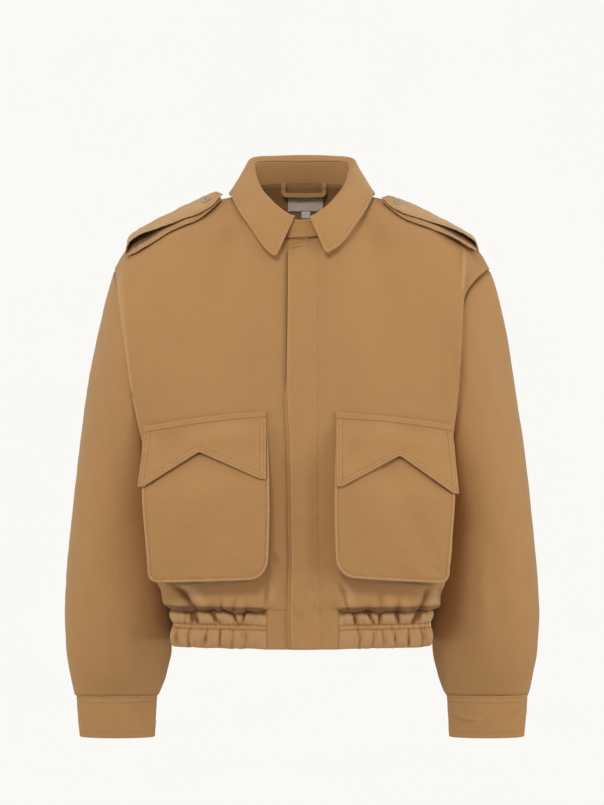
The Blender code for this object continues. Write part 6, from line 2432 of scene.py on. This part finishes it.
@dataclass
class Epaulette:
    """Two straps along the shoulder, one on the other, with a button at their point."""

    side: Side
    ground: Ground
    finishes: Wardrobe
    ridge_y: float = 3
    padding: float = 1.6
    rows: tuple[float, float] = (2.0, 5.2)
    spacing: float = 1.4
    width: tuple[float, float] = (54, 50)
    wrap: float = 13
    turned: float = 6
    forward_tilt: float = 0.35
    pressing: tuple[Pressing, Pressing] = (Pressing(0.4, 0.5, 0.65, 7.5), Pressing(2.4, 3.2, 1.0, 3.0))

    def __post_init__(self) -> None:
        """Looks up how flat the side's straps lie."""
        self.flatness = dict(zip(Side, self.pressing))[self.side]

    def lower_z(self, x: np.ndarray, y: np.ndarray, lift: np.ndarray) -> np.ndarray:
        """The lower strap's top, which is too stiff to follow the shoulder all the way down."""
        x, y = np.broadcast_arrays(x, y)
        straight = shoulder_z(x) - strap_slope(self.side, x) * np.clip(self.ridge_y - y, 0, None)
        laid = self.ground.top(self.side.value * x, y)[0][..., 2]
        crown = self.padding + self.flatness.crown * bump(y - self.ridge_y - 1, 20)
        crown = crown + self.flatness.tip_lift * rise(x, 154, 120)
        return np.logaddexp(straight, laid) + crown + lift + PANEL - 0.4

    def strap(self, table: Sequence[Strap], width: float) -> Net:
        """A strap, from its point to its outer end."""
        x = np.arange(table[0].x, table[-1].x + 0.1, self.spacing)[:, None]
        row = row_at(table, x)
        share = stations(width, self.spacing, 6, 6, 1.0)[None, :] / width
        y = row.back_y + (row.front_y - row.back_y) * share
        lift = row.back_lift + (row.front_lift - row.back_lift) * share
        if table is LOWER_STRAP:
            z = self.lower_z(x, y, lift)
        else:
            lift = lift * self.flatness.upper_lift
            turn = np.clip((x - table[-1].x + self.turned) / self.turned, 0, 1)
            fall = (1 - np.sqrt(np.clip(1 - turn**2, 0, 1))) * (self.flatness.end_fall + lift * 1.2)
            z = self.lower_z(x, y, row_at(LOWER_STRAP, x).back_lift) + lift + PANEL - fall
        return Net(points(self.side.value * x, y, z)).facing(from_plane(UPWARDS))

    def edge(self, net: Net) -> np.ndarray:
        """The strap's two long edges and its point, seen from above."""
        grid = net.grid()[:, :, :2]
        return np.concatenate([grid[:0:-1, 0], grid[0], grid[1:, -1]])

    def relief(self, net: Net, seed: int) -> np.ndarray:
        """The strap's turned and stitched edges, and the seam near its end."""
        apart, along = distance_to(self.edge(net), net.places[:, :2])
        total = 1.5 * sewn_relief(apart, along, self.rows, seed)
        end = np.abs(net.places[:, 0])
        total = total - 0.5 * bump(end - end.max() + self.wrap, 0.9)
        return total + 0.3 * uneven(end, net.places[:, 1], 26, seed)

    def button(self, strap: Ground) -> list[Path]:
        """Makes the button on the upper strap, and gives its crossed stitches."""
        node, shape = f"epaulette_button_{self.side.word}", ShoulderButton()
        made = shape.make(f"shoulder_button_{self.side.word}", self.finishes.finish[Slot.BUTTON])
        low, high = (Vector(corner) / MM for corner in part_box(node))
        place, normal = strap.top(*((low + high) / 2).xy)
        axis = (Vector(normal) + self.forward_tilt * Vector(FORWARDS)).normalized()
        crossed = shape.set_down(made, Vector(place), axis)
        dress(made, node)
        return crossed

    def build(self) -> None:
        """Makes the straps, their stitching and the button."""
        word, seed = self.side.word, 130 + self.side.value * 5
        sewing = Sewing(f"strap_stitches_{word}", self.finishes.thread)
        lower, upper = (self.strap(*each) for each in zip((LOWER_STRAP, UPPER_STRAP), self.width))
        for net in (lower, upper):
            net.raised(self.relief(net, seed + 5), 0.7)
            distances = [self.side.value * row for row in self.rows]
            sewing.beside(self.edge(net)[::3], distances, 4, Ground(net).top)
        # painted shade on the lower strap where the upper one covers it, a little paler elsewhere
        covered = lower.places[:, 1] - row_at(UPPER_STRAP, np.abs(lower.places[:, 0])).front_y
        lower.relief += 0.2 - 2.2 * rise(covered, -3, 1)
        # painted highlight on the whole upper strap, lit from above
        upper.relief += 1.1
        layers = ("lower", lower, f"front_{word}_panel"), ("upper", upper, f"strap_lower_{word}")
        for layer, net, under in layers:
            name, node = f"strap_{layer}_{word}", f"epaulette_{layer}_{word}"
            self.finishes.wear(net, name, node, PANEL, [under], Held.LAID)
        sewing.add(*self.button(Ground(upper)))
        sewing.make()


# Inside the neck --------------------------------------------------------------------------------------


@dataclass
class NeckTrim:
    """The hanger loop, the blank neck label and the blank size tab."""

    ground: Ground
    finishes: Wardrobe
    loop_x: tuple[float, float] = (-26, 31)
    loop_z: tuple[float, float] = (18.6, 1)
    loop_width: float = 6
    loop_corner: float = 5.0
    loop_stand: float = 6.5
    loop_seam_z: float = 12
    loop_sag: float = 0.6
    label: tuple[float, float, float, float] = (5, 49, -3.5, 17.5)
    tab: tuple[float, float, float] = (5.5, 12, 9)
    lift: float = 1.4

    def loop(self) -> Net:
        """The strap that hangs in a wide, shallow U."""
        (left, right), (top, low), corner = self.loop_x, self.loop_z, self.loop_corner
        turn = np.linspace(0, pi / 2, 12)[1:]
        legs = np.linspace(top, low + corner, 14)
        base = np.linspace(left + corner, (left + right) / 2, 24)[1:]
        sag = np.linspace(low, low - self.loop_sag, 24)[1:]
        half_x = np.concatenate([np.full(14, float(left)), left + corner - corner * np.cos(turn), base])
        half_z = np.concatenate([legs, low + corner - corner * np.sin(turn), sag])
        x = np.concatenate([half_x, left + right - half_x[-2::-1]])
        z = np.concatenate([half_z, half_z[-2::-1]])
        ahead = unit(np.stack([np.gradient(x), np.gradient(z)], axis=1))
        rows = []
        for shift in np.linspace(-0.5, 0.5, 9) * self.loop_width:
            line_x, line_z = x + ahead[:, 1] * shift, z - ahead[:, 0] * shift
            y = self.ground.back_inside(line_x, np.minimum(line_z, self.loop_seam_z)) - self.loop_stand
            rows.append(points(line_x, np.minimum(y, y.min() + 1.9), line_z))
        return Net(np.array(rows)).facing(from_plane(FORWARDS))

    def patch(self, centre_x: float, width: float, top_z: float, height: float) -> Net:
        """A flat rectangle of cloth against the inside of the back."""
        x = np.linspace(centre_x - width / 2, centre_x + width / 2, int(width) + 1)
        x, z = np.meshgrid(x, np.linspace(top_z, top_z - height, int(height) + 1))
        y = self.ground.back_inside(x, z) - PANEL - self.lift - TRIM / 2
        return Net(points(x, y, z)).facing(from_plane(FORWARDS))

    def build(self) -> None:
        """Makes the loop, the label, the tab and their stitching."""
        sewing = Sewing("neck_stitches", self.finishes.thread)
        loop, label = self.loop(), self.patch(*self.label)
        across = loop.down.ravel()
        edge = bump(across - self.loop_width + 1.3, 0.6)
        loop.raised(0.25 * bump(across - self.loop_width / 2, 2.2) - 0.2 * edge)
        self.finishes.wear(loop, "hanger_loop_strap", "hanger_loop", TRIM, ["collar_stand_band"])
        sewing.add(*(loop.along_row(1.2, 1, 1, last) for last in (False, True)))
        label.raised(0.22 * uneven(label.places[:, 0], label.places[:, 2], 24, 151))
        self.finishes.wear(
            label, "blank_neck_label", "neck_label", TRIM / 2, ["back_panel"], slot=Slot.LABEL
        )
        sewing.add(*(label.along_row(1.3, 1, 1, last) for last in (False, True)))
        x, width, height = self.tab
        tab = self.patch(x, width, self.label[2] - self.label[3] - SEAM - 0.2, height)
        self.finishes.wear(tab, "blank_size_tab", "size_tab", TRIM / 2, ["blank_neck_label"], slot=Slot.TAB)
        sewing.make()


# The studio -------------------------------------------------------------------------------------------


@dataclass(frozen=True)
class Lamp:
    """A soft square light, aimed at the middle of the jacket."""

    name: str
    place: tuple[float, float, float]
    size: float
    power: float
    aim: tuple[float, float, float] = (0, 0, -0.3)

    def make(self) -> None:
        """Adds the light to the scene."""
        data = bpy.data.lights.new(self.name, "AREA")
        data.shape, data.size, data.energy = "SQUARE", self.size, self.power
        lamp = bpy.data.objects.new(self.name, data)
        lamp.location = self.place
        lamp.rotation_euler = (Vector(self.aim) - Vector(self.place)).to_track_quat("-Z", "Y").to_euler()
        bpy.context.scene.collection.objects.link(lamp)


@dataclass
class Studio:
    """A white sweep all round, soft lights and the camera. Sizes are metres."""

    radius: float = 9
    height: float = 14
    curve: float = 3.0
    floor_z: float = -1.6
    camera_place: tuple[float, float, float] = (0, -3.5, -0.290)
    lens: float = 113.4
    sensor: float = 36
    ambient: float = 0.38
    lamps: tuple[Lamp, ...] = (
        Lamp("key", (-0.55, -2.8, 1.6), 0.78, 36),
        Lamp("left_wall", (-3.0, -1.2, -0.3), 2.2, 30),
        Lamp("right_wall", (3.0, -1.2, -0.3), 2.2, 44),
        Lamp("top", (0.0, 0.2, 2.6), 1.0, 12),
        Lamp("rear", (0.6, 3.0, 0.6), 2.4, 20),
    )

    def sweep(self) -> None:
        """The floor and walls, with a wide curve between them."""
        bpy.ops.object.select_all(action="DESELECT")
        middle = (0, 0, self.floor_z + self.height / 2)
        bpy.ops.mesh.primitive_cylinder_add(
            vertices=96, radius=self.radius, depth=self.height, location=middle
        )
        sweep = bpy.context.object
        sweep.name = sweep.data.name = "studio_sweep"
        bpy.ops.object.transform_apply(location=True)
        curve = sweep.modifiers.new("curve", "BEVEL")
        curve.width, curve.segments, curve.limit_method = self.curve, 12, "ANGLE"
        bpy.ops.object.modifier_apply(modifier=curve.name)
        bpy.ops.object.mode_set(mode="EDIT")
        bpy.ops.mesh.select_all(action="SELECT")
        bpy.ops.mesh.flip_normals()
        bpy.ops.object.mode_set(mode="OBJECT")
        bpy.ops.object.shade_smooth()
        sweep.data.materials.append(Paper().make())
        sweep.visible_diffuse = sweep.visible_glossy = sweep.visible_shadow = False

    def camera(self) -> None:
        """The camera, level, at the height of the middle of the photograph."""
        data = bpy.data.cameras.new("camera")
        data.lens, data.sensor_fit = self.lens, "VERTICAL"
        data.sensor_width = data.sensor_height = self.sensor
        camera = bpy.data.objects.new("camera", data)
        camera.location = self.camera_place
        camera.rotation_euler = (pi / 2, 0, 0)
        bpy.context.scene.collection.objects.link(camera)
        bpy.context.scene.camera = camera

    def build(self) -> None:
        """Sets up the sweep, the lights, the camera and the view."""
        self.sweep()
        for lamp in self.lamps:
            lamp.make()
        world = bpy.data.worlds.new("studio_air")
        world.use_nodes = True
        air = world.node_tree.nodes["Background"].inputs
        air["Color"].default_value = (1, 1, 1, 1)
        air["Strength"].default_value = self.ambient
        bpy.context.scene.world = world
        bpy.context.scene.view_settings.view_transform = "Standard"
        self.camera()
        log.info("studio: %d lights", len(self.lamps))


# The jacket -------------------------------------------------------------------------------------------


def main() -> None:
    """Builds the jacket, piece by piece, and the studio round it."""
    logging.basicConfig(level=logging.INFO, format="%(name)s: %(message)s")
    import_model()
    finishes = Wardrobe.make()
    form = BodyForm()
    panels = Panels(form, finishes)
    panels.build()
    sleeves = Sleeves(SleeveForm(form), finishes)
    sleeves.build()
    fronts = Ground(panels.nets["front_left"], panels.nets["front_right"])
    whole = Ground(*panels.nets.values(), *sleeves.nets.values())
    Collar(finishes).build()
    Fly(fronts, finishes).build()
    HemBand(form, finishes, panels.straight).build()
    for side in Side:
        Pocket(side, fronts, finishes).build()
        Epaulette(side, whole, finishes).build()
    NeckTrim(Ground(panels.nets["back"]), finishes).build()
    Studio().build()
    log.info("jacket done")


if __name__ == "__main__":
    main()
